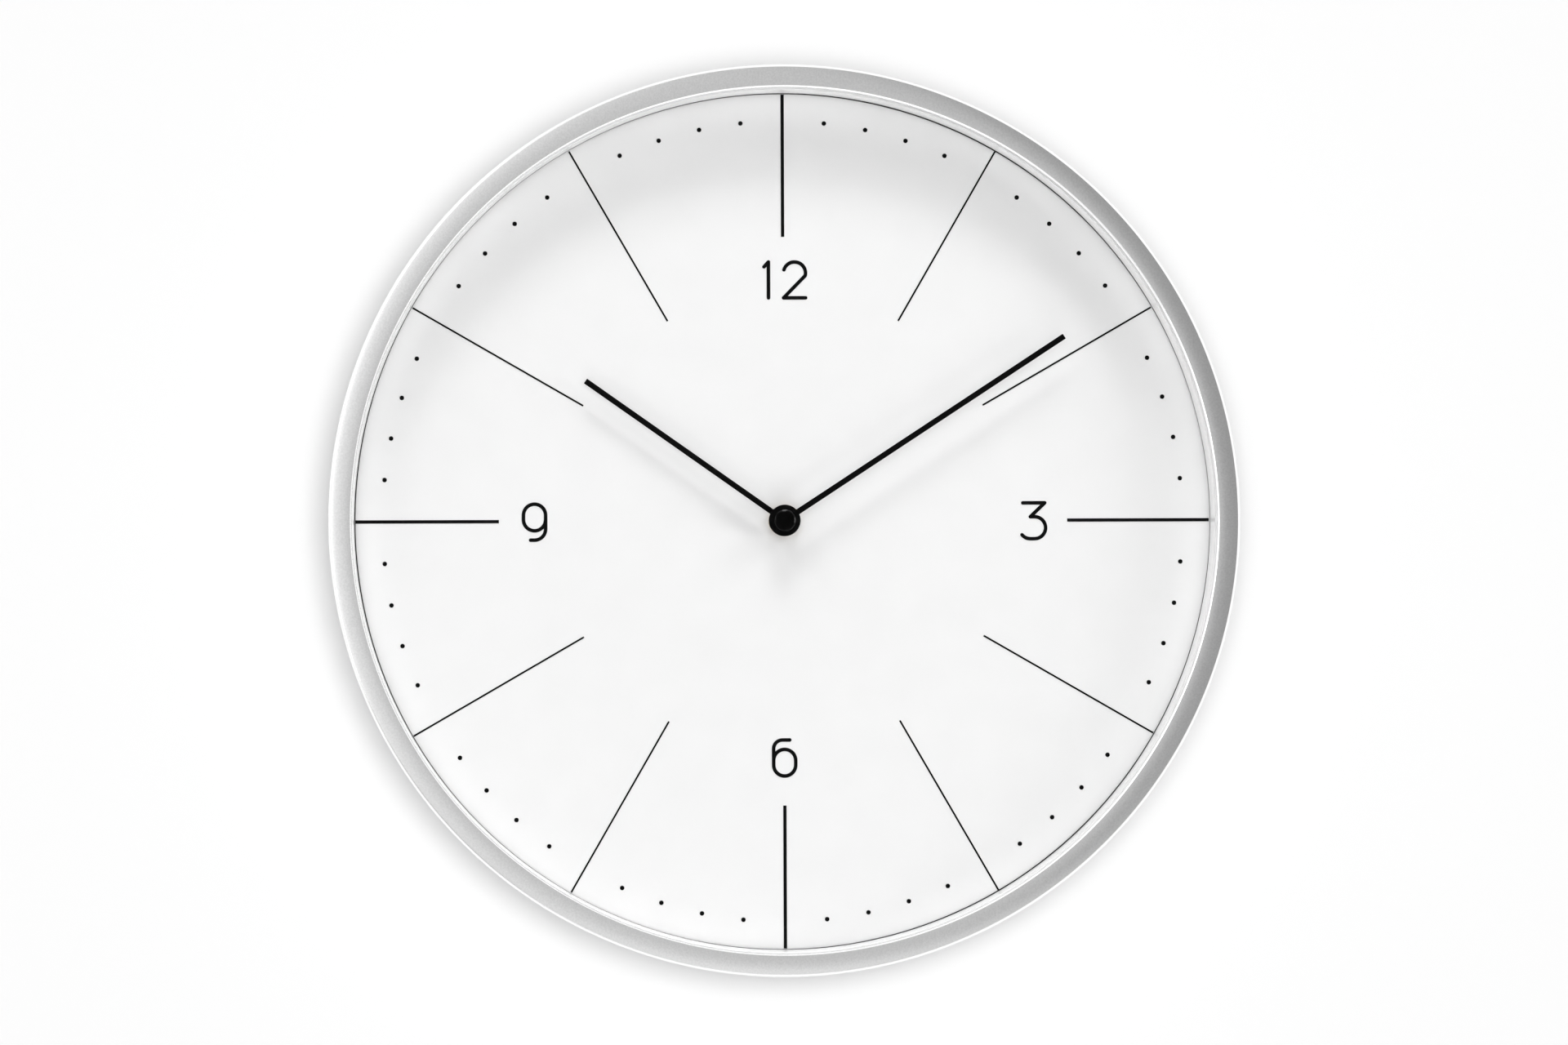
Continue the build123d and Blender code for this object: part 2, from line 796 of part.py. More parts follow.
def make_movement_housing():
    tray = movement_slab(rear_plate_top, movement_front)
    for low, high in ((-bay_below, bay_above), (battery_bay_bottom, battery_bay_top)):
        tray -= block(-bay_half_width, bay_half_width, low, high, rear_plate_top, bay_top)
    for point in post_points():
        tray += drum(post_radius, gear_plate_top, bay_top, point)
        tray += drum(peg_radius, gear_plate_level, gear_plate_top, point)
    tray += drum(collar_radius, movement_front, collar_top)
    tray -= drum(collar_bore_radius, bay_top, collar_top)
    tray -= drum(motion_pivot_radius + running_gap, bay_top, bay_top + pivot_depth, motion_point)
    return tray


def make_movement_cover():
    side = movement_half_width
    plate = movement_slab(movement_rear, rear_plate_top)
    plate -= block(-side, side, movement_bottom, battery_bay_top, movement_rear, rear_plate_top)
    plate = chamfer(plate.edges().group_by(Axis.Z)[0], movement_edge_bevel)
    for point in (axis_point, third_point, intermediate_point, rotor_point):
        plate -= drum(pivot_radius + running_gap, rear_plate_top - pivot_depth, rear_plate_top, point)
    return plate - drum(motion_arbor_radius + running_gap, movement_rear, rear_plate_top, motion_point)


def make_gear_plate():
    side = bay_half_width - plate_clearance
    low = plate_clearance - bay_below
    high = bay_above - plate_clearance
    plate = block(-side, side, low, high, gear_plate_level, gear_plate_top)
    for point in (third_point, intermediate_point, rotor_point):
        plate -= drum(pivot_radius + running_gap, gear_plate_level, gear_plate_top, point)
    for point in post_points():
        plate -= drum(peg_radius + running_gap, gear_plate_level, gear_plate_top, point)
    plate -= drum(motion_arbor_radius + running_gap, gear_plate_level, gear_plate_top, motion_point)
    return plate - drum(minute_bore_radius, gear_plate_level, gear_plate_top)


def make_collar_nut():
    nut = ring(collar_radius + press_gap, collar_radius + nut_wall, dial_front, nut_top)
    half_slot = nut_slot / 2
    reach_out = collar_radius + nut_wall
    return nut - block(-half_slot, half_slot, -reach_out, reach_out, nut_top - nut_slot_depth, nut_top)


# Back cover: plate, skirt that clamps the dial, movement window, ribs, keyhole and raised frames
cover_radius = wall_radius - cover_clearance
skirt_outer = ring_foot_radius - skirt_inset + skirt_wall
skirt_inner = ring_foot_radius - skirt_inset
bead_radius = skirt_inner - bead_inset
keyhole_height = skirt_inner - keyhole_inset


def keyhole(margin):
    """Keyhole outline, widened all round by a margin: round entry below, narrow slot above."""
    entry = Pos(0, keyhole_height) * Circle(keyhole_entry_diameter / 2 + margin)
    slot_half = keyhole_slot_width / 2 + margin
    slot = Pos(0, keyhole_height + keyhole_travel / 2) * Rectangle(2 * slot_half, keyhole_travel)
    end = Pos(0, keyhole_height + keyhole_travel) * Circle(slot_half)
    return entry + slot + end


def window(margin):
    """Movement window's outline, widened all round by a margin."""
    width = 2 * (movement_half_width + window_gap + margin)
    height = movement_height + 2 * (window_gap + margin)
    return Pos(0, movement_middle) * RectangleRounded(width, height, window_corner + margin)


def upright(outline, bottom, top):
    """Outline raised from one level to another."""
    return Pos(0, 0, bottom) * extrude(outline, top - bottom)


def make_back_cover():
    cover = drum(cover_radius, rear_recess, cover_top)
    cover += ring(cover_radius - cover_border, cover_radius, cover_raised, rear_recess)
    cover += ring(bead_radius, bead_radius + bead_width, cover_raised, rear_recess)
    cover += upright(window(window_frame), cover_raised, rear_recess)
    cover += upright(keyhole(keyhole_frame), cover_raised, rear_recess)
    cover += ring(skirt_inner, skirt_outer, cover_top, dial_back)
    cover += upright(window(window_rim_wall), cover_top, cover_top + window_rim_height)
    keyhole_top = cover_top + keyhole_pad_thickness
    cover += upright(keyhole(keyhole_pad_margin), cover_top, keyhole_top)
    rib_end = skirt_inner + skirt_wall / 2
    half_rib = rib_thickness / 2
    rib = block(0, rib_end, -half_rib, half_rib, cover_top, cover_top + rib_height)
    for index in range(rib_count):
        cover += Rotation(0, 0, 360 * (index + 0.5) / rib_count) * rib
    cover -= upright(window(0), cover_raised, movement_front)
    cover -= upright(keyhole(0), cover_raised, keyhole_top)
    cover = chamfer(cover.faces().group_by(Axis.Z)[0].edges(), cover_edge_bevel)
    for point in around(screw_count, screw_circle):
        cover -= drum((screw_diameter + screw_hole_clearance) / 2, cover_raised, cover_top, point)
    return cover


def make_cover_screws():
    head_bottom = cover_raised - screw_head_height
    cross_top = head_bottom + screw_cross_depth
    screw = drum(screw_head_diameter / 2, head_bottom, cover_raised)
    screw = chamfer(screw.edges().group_by(Axis.Z)[0], screw_head_bevel)
    screw += drum(screw_diameter / 2, cover_raised, cover_raised + screw_length)
    long_half = screw_cross_length / 2
    short_half = screw_cross_width / 2
    screw -= block(-long_half, long_half, -short_half, short_half, head_bottom, cross_top)
    screw -= block(-short_half, short_half, -long_half, long_half, head_bottom, cross_top)
    return Compound([(Pos(point.X, point.Y) * screw).solid() for point in around(screw_count, screw_circle)])


dial_hole_radius = collar_radius + dial_hole_clearance
washer_radius = collar_radius + washer_width
gasket_inner_radius = opening_radius - gasket_show

pieces = {
    "case_frame": make_case_frame(),
    "glass": drum(glass_radius, glass_bottom, glass_top),
    "glass_gasket": ring(gasket_inner_radius, glass_radius, glass_top, lip_level),
    "spacer_ring": make_spacer_ring(),
    "dial_seal": ring(seal_radius, glass_radius, dial_front, seal_top),
    "dial": ring(dial_hole_radius, glass_radius, dial_back, dial_front),
    "hour_lines": make_hour_lines(),
    "minute_dots": make_minute_dots(),
    "numerals": make_numerals(),
    "hour_hand": make_hand(
        hour_hand_length,
        hour_hand_angle,
        hour_hand_level,
        hour_boss_level,
        hour_tube_radius + hour_boss_wall,
        hour_tube_radius + press_gap,
    ),
    "minute_hand": make_hand(
        minute_hand_length,
        minute_hand_angle,
        minute_hand_level,
        minute_boss_level,
        minute_seat_radius + minute_boss_wall,
        minute_seat_radius + press_gap,
    ),
    "hand_cap": make_hand_cap(),
    "back_cover": make_back_cover(),
    "cover_screws": make_cover_screws(),
    "movement_housing": make_movement_housing(),
    "movement_cover": make_movement_cover(),
    "movement_washer": ring(dial_hole_radius, washer_radius, movement_front, dial_back),
    "collar_nut": make_collar_nut(),
    "gear_plate": make_gear_plate(),
    "battery": make_battery(),
    "positive_contact": make_contact(1),
    "negative_contact": make_contact(-1),
    "circuit_board": make_circuit_board(),
    "clock_chip": make_clock_chip(),
    "quartz_crystal": make_quartz_crystal(),
    "stator": make_stator(),
    "coil_core": make_coil_core(),
    "coil_bobbin": make_coil_bobbin(),
    "coil_winding": make_coil_winding(),
    "rotor_magnet": make_rotor_magnet(),
    "rotor_pinion": make_rotor_pinion(),
    "intermediate_wheel": make_intermediate_wheel(),
    "seconds_wheel": make_seconds_wheel(),
    "third_wheel": make_third_wheel(),
    "centre_wheel": make_centre_wheel(),
    "minute_shaft": make_minute_shaft(),
    "motion_wheel": make_motion_wheel(),
    "hour_wheel": make_hour_wheel(),
    "setting_knob": make_setting_knob(),
}

# Stand the clock up: 12 o'clock to +Z, the dial facing -Y
stand_up = Rotation(90, 0, 0)
os.makedirs("parts", exist_ok=True)
for name, piece in pieces.items():
    export_step(stand_up * piece, f"parts/{name}.step")
print(f"{len(pieces)} nodes, {case_diameter:.1f} mm across, {case_depth:.1f} mm deep")
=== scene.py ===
# %% [markdown]
# # A wall clock with a slim silver ring
# The clock is a shallow metal drum: a satin ring, a flat glass behind the ring's lip, a white dial
# with printed lines and dots, and two black hands. The measured model comes in as a fixed frame of
# named nodes. In this lesson we keep the nodes whose shape is already right and only give them a
# finish, and we model again, much finer, the round pieces that a close look would show as
# many-sided.

# %% Load the frame
import json
import math

import bmesh
import bpy
from mathutils import Matrix, Vector


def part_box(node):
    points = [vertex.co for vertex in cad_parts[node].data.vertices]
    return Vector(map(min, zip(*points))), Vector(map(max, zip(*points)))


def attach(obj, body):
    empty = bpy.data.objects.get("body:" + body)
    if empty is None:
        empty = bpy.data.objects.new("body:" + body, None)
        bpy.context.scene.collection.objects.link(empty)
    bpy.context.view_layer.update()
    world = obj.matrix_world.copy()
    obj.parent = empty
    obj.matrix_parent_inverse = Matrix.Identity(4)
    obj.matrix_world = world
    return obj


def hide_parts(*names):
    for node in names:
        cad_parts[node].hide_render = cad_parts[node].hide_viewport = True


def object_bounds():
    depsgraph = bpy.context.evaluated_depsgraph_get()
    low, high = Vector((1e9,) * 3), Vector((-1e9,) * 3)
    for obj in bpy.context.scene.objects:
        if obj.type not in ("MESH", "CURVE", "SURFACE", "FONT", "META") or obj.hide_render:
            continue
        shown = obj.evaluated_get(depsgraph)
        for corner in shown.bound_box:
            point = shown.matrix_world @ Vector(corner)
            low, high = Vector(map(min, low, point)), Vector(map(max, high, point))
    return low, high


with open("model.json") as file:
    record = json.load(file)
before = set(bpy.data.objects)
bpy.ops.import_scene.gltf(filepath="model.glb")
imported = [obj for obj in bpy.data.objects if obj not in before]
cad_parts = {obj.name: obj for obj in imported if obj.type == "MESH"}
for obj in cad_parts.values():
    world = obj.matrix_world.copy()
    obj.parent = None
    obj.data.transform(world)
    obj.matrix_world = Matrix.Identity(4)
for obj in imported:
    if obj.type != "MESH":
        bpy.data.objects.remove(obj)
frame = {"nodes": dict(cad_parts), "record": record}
cad_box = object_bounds()
nodes = frame["nodes"]
mm = 0.001
print("nodes in the frame:", len(nodes))
print("clock in mm:", [round(side / mm, 1) for side in cad_box[1] - cad_box[0]])

# %% [markdown]
# ## The camera
# A camera is the first thing to settle, because every later judgement is made through it. The clock
# was seen almost straight on with a long lens, from a little left of its axis and a little below
# it. So the left wall of the ring hides more of the dial's edge than the right one. The camera is
# also rolled by a quarter of a degree, because the dial stands that much off upright.

# %% Camera
camera_place = Vector((-0.106, -2.038, -0.046))
camera_aim = Vector((-0.00075, -0.038, -0.0009))
camera_lens = 140.1
camera_sensor = 36.0
camera_roll = math.radians(-0.23)

camera = bpy.data.objects.new("camera", bpy.data.cameras.new("camera"))
bpy.context.scene.collection.objects.link(camera)
camera.data.lens = camera_lens
camera.data.sensor_width = camera_sensor
looking = (camera_aim - camera_place).to_track_quat("-Z", "Y").to_matrix().to_4x4()
rolled = Matrix.Rotation(camera_roll, 4, "Z")
camera.matrix_world = Matrix.Translation(camera_place) @ looking @ rolled
bpy.context.scene.camera = camera
print("camera is", round((camera_place - camera_aim).length, 3), "m from the clock's face")

# %% [markdown]
# ## A lathe for round pieces
# Most of a clock is turned: ring, glass, cap, cell. On a lathe the turner cuts one outline. Here an
# outline is a flat face of a few corner points, each with its own rounding. A vertex bevel rounds
# the corners, the face is thrown away, and its border is spun once round the axis. The clock lies
# along Y with its face to -Y, so x holds a point's radius, and -y its level above the wall.

# %% Lathe
fine_turn = 384
small_turn = 96
corner_steps = 6
round_profile = 0.5
same_place = 1e-7
soft_angle = math.radians(32)


def cut_outline(bm, corners):
    """Border edges of an outline whose corners are (radius, level, rounding) in mm."""
    points = [bm.verts.new((radius * mm, -level * mm, 0.0)) for radius, level, rounding in corners]
    bm.faces.new(points)
    for point, (radius, level, rounding) in zip(points, corners):
        if rounding:
            bmesh.ops.bevel(bm, geom=[point], offset=rounding * mm, segments=corner_steps,
                            profile=round_profile, affect="VERTICES", material=-1)
    face = next(face for face in bm.faces if len(face.verts) >= len(corners))
    border = list(face.verts) + list(face.edges)
    bmesh.ops.delete(bm, geom=[face], context="FACES_ONLY")
    return border


def turn(corners, steps):
    """A closed shell: the outline turned once round the clock's axis."""
    bm = bmesh.new()
    border = cut_outline(bm, corners)
    bmesh.ops.spin(bm, geom=border, cent=(0, 0, 0), axis=(0, 1, 0), angle=math.tau, steps=steps,
                   use_merge=True, use_duplicate=False)
    bmesh.ops.remove_doubles(bm, verts=bm.verts[:], dist=same_place)
    on_axis = [edge for edge in bm.edges if edge.is_wire]
    bmesh.ops.delete(bm, geom=on_axis, context="EDGES")
    bmesh.ops.recalc_face_normals(bm, faces=bm.faces[:])
    return bm


def shade(bm):
    """Smooth shading that breaks only at real edges."""
    for face in bm.faces:
        face.smooth = True
    for edge in bm.edges:
        edge.smooth = edge.calc_face_angle(math.pi) < soft_angle


def set_out(bm, name, body, slot, finish, *stands_for):
    """Turns a finished bmesh into a piece that rides on a body and takes the place of CAD nodes."""
    shade(bm)
    mesh = bpy.data.meshes.new(name)
    bm.to_mesh(mesh)
    bm.free()
    mesh.materials.append(finish)
    piece = bpy.data.objects.new(name, mesh)
    bpy.context.scene.collection.objects.link(piece)
    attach(piece, body)
    if stands_for:
        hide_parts(*stands_for)
    print(name, "has", len(mesh.polygons), "faces")
    return piece


print("lathe ready:", fine_turn, "steps for the ring,", small_turn, "for small parts")

# %% [markdown]
# ## Tools for finishes
# No real surface has one flat colour. Each finish here starts from the standard surface shader and
# gets small helpers: a speckle of a given size in metres, a colour or a roughness that follows the
# speckle, and a fine relief. The speckle reads Object coordinates, so a grain of half a millimetre
# stays that size on every piece.

# %% Finish helpers
speckle_low = 0.3
speckle_high = 0.7


def start_finish(name, colour, roughness, metallic=0.0, specular=0.5):
    """A new material with its constant values set on the shader's own sockets."""
    material = bpy.data.materials.new(name)
    material.use_nodes = True
    shader = material.node_tree.nodes["Principled BSDF"]
    shader.inputs["Base Color"].default_value = (*colour, 1.0)
    shader.inputs["Roughness"].default_value = roughness
    shader.inputs["Metallic"].default_value = metallic
    shader.inputs["Specular IOR Level"].default_value = specular
    return material, material.node_tree, shader


def speckle(tree, size, detail=2.0):
    """Noise in blotches of about the given size in metres."""
    place = tree.nodes.new("ShaderNodeTexCoord")
    noise = tree.nodes.new("ShaderNodeTexNoise")
    noise.inputs["Scale"].default_value = 1.0 / size
    noise.inputs["Detail"].default_value = detail
    tree.links.new(place.outputs["Object"], noise.inputs["Vector"])
    return noise.outputs["Fac"]


def tint(tree, amount, dark, light, socket):
    """A colour that goes from dark to light with the speckle."""
    ramp = tree.nodes.new("ShaderNodeValToRGB")
    ramp.color_ramp.elements[0].position = speckle_low
    ramp.color_ramp.elements[1].position = speckle_high
    ramp.color_ramp.elements[0].color = (*dark, 1.0)
    ramp.color_ramp.elements[1].color = (*light, 1.0)
    tree.links.new(amount, ramp.inputs["Fac"])
    tree.links.new(ramp.outputs["Color"], socket)


def vary(tree, amount, low, high, socket):
    """A number that goes from low to high with the speckle."""
    span = tree.nodes.new("ShaderNodeMapRange")
    span.inputs["From Min"].default_value = speckle_low
    span.inputs["From Max"].default_value = speckle_high
    span.inputs["To Min"].default_value = low
    span.inputs["To Max"].default_value = high
    tree.links.new(amount, span.inputs["Value"])
    tree.links.new(span.outputs["Result"], socket)


def relief(tree, amount, height, shader):
    """Fine bumps of a height in metres."""
    bump = tree.nodes.new("ShaderNodeBump")
    bump.inputs["Distance"].default_value = height
    tree.links.new(amount, bump.inputs["Height"])
    tree.links.new(bump.outputs["Normal"], shader.inputs["Normal"])


def grey(level):
    """A neutral colour."""
    return (level, level, level)


print("finish helpers ready")

# %% [markdown]
# ## The silver ring
# The ring is drawn aluminium with a satin, blasted skin. Its front face is not flat: a slight crown
# makes one side of it catch the light while the other stays grey. The crown could be modelled with
# many points, but a low roof whose ridge is rounded off by the bevel gives the same arc from a
# single point. The rounding takes away a known share of the ridge's height, so the roof starts that
# much higher.
#
# The two edges of the face are cut as narrow facets. They are cut after the blasting, so they are
# bright metal and show as white lines. The facets are found by their slope, and get a finish of
# their own. The outer one leans a little to the front, so that it mirrors the bright side of the
# room and not the wall.
#
# The ring is hidden from diffuse rays. What it mirrors would otherwise fall on the wall as well,
# and wash out the soft shadow there.

# %% Silver ring
ring_radius = (cad_box[1].x - cad_box[0].x) / 2 / mm
ring_depth = -cad_box[0].y / mm
ring_wall = 1.2
face_width = 7.6
face_crown = 0.35
outer_facet = 0.85
outer_drop = 0.66
inner_facet = 0.55
facet_round = 0.08
facet_steep = 0.45
facet_flat = 0.92
inner_round = 0.25
rear_round = 0.4
lip = 1.8
glass_seat = 144.8
register_drop = 6.0
dial_level = -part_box("dial")[0].y / mm
land_step = 1.0
land_level = dial_level + land_step
cover_level = 5.5

opening = ring_radius - face_width
face_edge = ring_depth - face_crown
face_half = (face_width - outer_facet - inner_facet) / 2
ridge_radius = ring_radius - outer_facet - face_half
ridge_reach = 0.97
ridge_loss = ridge_reach * (2 - math.sqrt(2))
ridge_rise = face_crown / (1 - ridge_loss)
lip_level = ring_depth - lip
inner_wall = ring_radius - ring_wall

ring_outline = [
    (inner_wall, 0, 0),
    (ring_radius, 0, rear_round),
    (ring_radius, face_edge - outer_drop, facet_round),
    (ring_radius - outer_facet, face_edge, facet_round),
    (ridge_radius, face_edge + ridge_rise, ridge_reach * face_half),
    (opening + inner_facet, face_edge, inner_round),
    (opening, face_edge - inner_facet, facet_round),
    (opening, lip_level, facet_round),
    (glass_seat, lip_level, 0),
    (glass_seat, lip_level - register_drop, 0),
    (inner_wall, lip_level - register_drop, 0),
    (inner_wall, land_level, 0),
    (glass_seat, land_level, 0),
    (glass_seat, cover_level, 0),
    (inner_wall, cover_level, 0),
]


def satin_aluminium():
    """Blasted aluminium: a fine grey grain and a roughness that follows it."""
    material, tree, shader = start_finish("satin aluminium", grey(0.66), 0.38, metallic=1.0)
    grain = speckle(tree, 0.0006, 4.0)
    tint(tree, grain, grey(0.61), grey(0.70), shader.inputs["Base Color"])
    vary(tree, grain, 0.34, 0.42, shader.inputs["Roughness"])
    relief(tree, speckle(tree, 0.0003), 0.000006, shader)
    return material


def bright_cut():
    """Aluminium as the cutter leaves it, bright with a trace of its marks."""
    material, tree, shader = start_finish("bright cut", grey(0.93), 0.16, metallic=1.0)
    vary(tree, speckle(tree, 0.0008), 0.12, 0.22, shader.inputs["Roughness"])
    return material


ring = turn(ring_outline, fine_turn)
facets = [face for face in ring.faces if facet_steep < -face.normal.y < facet_flat]
for face in facets:
    face.material_index = 1
print("faces in the bright facets:", len(facets))
silver_ring = set_out(ring, "silver_ring", "clock_case", "case_metal", satin_aluminium(),
                      "case_frame")
silver_ring.data.materials.append(bright_cut())
silver_ring.visible_diffuse = False

# %% [markdown]
# ## The white inner ring
# Between glass and dial stands a white plastic ring. Seen from the front it is a bright ledge and,
# on the far side, a short wall that mirrors the ends of the printed lines. It tapers a little, as
# moulded rings do, so that the wall shows all round.

# %% White inner ring
glass_low, glass_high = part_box("glass")
glass_radius = glass_high.x / mm
glass_back = -glass_high.y / mm
glass_front = -glass_low.y / mm
seal_front = -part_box("dial_seal")[0].y / mm
ledge = 0.4
ring_taper = 0.25
ledge_round = 0.3
ring_mouth = opening - ledge
ring_foot = ring_mouth - ring_taper

inner_ring_outline = [
    (ring_foot, seal_front, 0),
    (glass_radius, seal_front, 0),
    (glass_radius, glass_back, 0),
    (ring_mouth, glass_back, ledge_round),
]


def white_plastic():
    """Smooth white moulding, glossy enough to mirror the dial at a glance."""
    material, tree, shader = start_finish("white plastic", grey(0.87), 0.22)
    cloud = speckle(tree, 0.004)
    tint(tree, cloud, grey(0.86), grey(0.89), shader.inputs["Base Color"])
    vary(tree, speckle(tree, 0.0008), 0.18, 0.26, shader.inputs["Roughness"])
    return material


inner_ring = set_out(turn(inner_ring_outline, fine_turn), "inner_ring", "clock_case",
                     "ring_white", white_plastic(), "spacer_ring")

# %% [markdown]
# ## The dark edge line
# A thin dark seal lies under the foot of the white ring. It shows as a hair line round the dial,
# and it also stands in for the shadow of the gap between the white ring and the dial: painted
# shade. The line is stronger in three places and fainter between them, which copies how that shade
# changes round the dial. It is turned like the others, and then its inner edge is pushed in and out
# by a formula.

# %% Dark edge line
seal_back = -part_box("dial_seal")[1].y / mm
shade_line_show = 0.22
shade_line_sway = 0.16
shade_line_lobes = 3
shade_line_lobe_turn = math.radians(23)
seal_round = 0.1

# A dark seal that also paints the shadow of the gap round the dial's edge.
shade_line_seal = turn([
    (ring_foot - shade_line_show, seal_back, 0),
    (glass_radius, seal_back, 0),
    (glass_radius, seal_front, 0),
    (ring_foot - shade_line_show, seal_front, seal_round),
], fine_turn)
# The sway paints the shade line: it shows more of the dark seal in three places and less between
# them.
for point in shade_line_seal.verts:
    around = math.atan2(point.co.x, point.co.z)
    if math.hypot(point.co.x, point.co.z) < ring_foot * mm:
        sway = -shade_line_sway * mm * math.cos(shade_line_lobes * (around - shade_line_lobe_turn))
        outward = Vector((math.sin(around), 0.0, math.cos(around)))
        point.co += sway * outward


def rubber_for_washers_and_shade_line():
    """Matte black rubber, for the washers and for the seal whose dark edge is also painted shade.
    """
    material, tree, shader = start_finish("dark rubber", grey(0.03), 0.7, specular=0.2)
    tint(tree, speckle(tree, 0.0005), grey(0.02), grey(0.05), shader.inputs["Base Color"])
    return material


rubber_and_shade_line = rubber_for_washers_and_shade_line()
# The seal's black rubber also stands in for the shadow in the gap at the dial's edge: painted
# shade.
set_out(shade_line_seal, "dial_seal_and_shade_line", "clock_case", "seal_dark", rubber_and_shade_line, "dial_seal")

# %% [markdown]
# ## The glass
# The glass is a flat pane with its sharp edge taken off. Nearly all light goes straight through it.
# A full glass shader would bend rays and cast grey shadows on the dial, so the pane mixes a
# transparent shader with a little mirror. The mirror grows with the fifth power towards a flat
# angle, which is the usual short rule for glass. It is the same from both sides, so slanting light
# leaves the pane as it came in.

# %% Glass
glass_arris = 0.3
glass_clear = 0.998
glass_mirror = 0.004
glass_polish = 0.02
slant_blend = 0.5
slant_power = 5.0

pane = turn([
    (0, glass_back, 0),
    (glass_radius, glass_back, glass_arris),
    (glass_radius, glass_front, glass_arris),
    (0, glass_front, 0),
], fine_turn)


def clear_glass():
    """See-through pane with a faint mirror that grows at flat angles."""
    material = bpy.data.materials.new("clear glass")
    material.use_nodes = True
    tree = material.node_tree
    tree.nodes.clear()
    out = tree.nodes.new("ShaderNodeOutputMaterial")
    mix = tree.nodes.new("ShaderNodeMixShader")
    clear = tree.nodes.new("ShaderNodeBsdfTransparent")
    mirror = tree.nodes.new("ShaderNodeBsdfGlossy")
    slant = tree.nodes.new("ShaderNodeLayerWeight")
    slant.inputs["Blend"].default_value = slant_blend
    steep = tree.nodes.new("ShaderNodeMath")
    steep.operation = "POWER"
    steep.inputs[1].default_value = slant_power
    share = tree.nodes.new("ShaderNodeMapRange")
    share.inputs["To Min"].default_value = glass_mirror
    share.inputs["To Max"].default_value = 1.0
    clear.inputs["Color"].default_value = (*grey(glass_clear), 1.0)
    mirror.inputs["Roughness"].default_value = glass_polish
    tree.links.new(slant.outputs["Facing"], steep.inputs[0])
    tree.links.new(steep.outputs["Value"], share.inputs["Value"])
    tree.links.new(share.outputs["Result"], mix.inputs["Fac"])
    tree.links.new(clear.outputs["BSDF"], mix.inputs[1])
    tree.links.new(mirror.outputs["BSDF"], mix.inputs[2])
    tree.links.new(mix.outputs["Shader"], out.inputs["Surface"])
    return material


set_out(pane, "cover_pane", "clock_case", "cover_glass", clear_glass(), "glass")

# %% [markdown]
# ## The white gasket
# A thin white gasket lies on the glass, under the ring's lip, and shows as a bright line inside the
# metal. It reaches as far in as the white ring behind the glass, so the two read as one pale ledge.
# It is a plain ring, so the lathe makes it from four corners.

# %% White gasket
gasket_show = ledge
gasket_round = 0.15

gasket = turn([
    (opening - gasket_show, glass_front, 0),
    (glass_radius, glass_front, 0),
    (glass_radius, lip_level, 0),
    (opening - gasket_show, lip_level, gasket_round),
], fine_turn)


def white_silicone():
    """Soft white gasket, slightly dusty."""
    material, tree, shader = start_finish("white silicone", grey(0.9), 0.5, specular=0.3)
    tint(tree, speckle(tree, 0.002), grey(0.89), grey(0.91), shader.inputs["Base Color"])
    return material


set_out(gasket, "gasket_ring", "clock_case", "gasket_plastic", white_silicone(), "glass_gasket")

# %% [markdown]
# ## The hands
# Each hand is a stamped baton with a round eye. Its outline is one arc and three straight sides: a
# vertex is spun round the eye, two more make the tip. The fill leaves the bore open, an extrude
# gives the thickness and a small bevel breaks the front edge, where black lacquer catches a thin
# light. A short collar under the eye holds the hand on its shaft.

# %% Hands
hand_half = 0.94
hand_thickness = 0.6
eye_radius = 5.2
hand_edge = 0.12
hand_edge_steps = 2
boss_round = 0.1


def stamp_hand(length, clock_angle, level, bore):
    """Baton with an eye, lying at a level, turned to its place on the dial."""
    bm = bmesh.new()
    shoulder = math.sqrt(eye_radius ** 2 - hand_half ** 2)
    start = bm.verts.new((hand_half * mm, 0.0, shoulder * mm))
    sweep = math.tau - 2 * math.asin(hand_half / eye_radius)
    arc = bmesh.ops.spin(bm, geom=[start], cent=(0, 0, 0), axis=(0, 1, 0), angle=sweep,
                         steps=small_turn, use_merge=False, use_duplicate=False)
    end = arc["geom_last"][0]
    left_tip = bm.verts.new((-hand_half * mm, 0.0, length * mm))
    right_tip = bm.verts.new((hand_half * mm, 0.0, length * mm))
    for pair in ((end, left_tip), (left_tip, right_tip), (right_tip, start)):
        bm.edges.new(pair)
    upright = Matrix.Rotation(math.radians(90), 4, "X")
    bmesh.ops.create_circle(bm, cap_ends=False, segments=small_turn, radius=bore * mm,
                            matrix=upright)
    filled = bmesh.ops.triangle_fill(bm, edges=bm.edges[:], use_beauty=True)
    flat = [item for item in filled["geom"] if isinstance(item, bmesh.types.BMFace)]
    raised = bmesh.ops.extrude_face_region(bm, geom=flat, use_keep_orig=True)
    front = [item for item in raised["geom"] if isinstance(item, bmesh.types.BMVert)]
    bmesh.ops.translate(bm, verts=front, vec=(0.0, -hand_thickness * mm, 0.0))
    bmesh.ops.recalc_face_normals(bm, faces=bm.faces[:])
    rim = [edge for edge in bm.edges
           if all(vert.co.y < -hand_thickness / 2 * mm for vert in edge.verts)
           and all(vert.co.length > (bore + eye_radius) / 2 * mm for vert in edge.verts)
           and edge.calc_face_angle(0.0) > soft_angle]
    bmesh.ops.bevel(bm, geom=rim, offset=hand_edge * mm, segments=hand_edge_steps,
                    profile=round_profile, affect="EDGES", material=-1)
    bmesh.ops.translate(bm, verts=bm.verts[:], vec=(0.0, -level * mm, 0.0))
    bmesh.ops.rotate(bm, verts=bm.verts[:], cent=(0, 0, 0),
                     matrix=Matrix.Rotation(math.radians(clock_angle), 3, "Y"))
    return bm


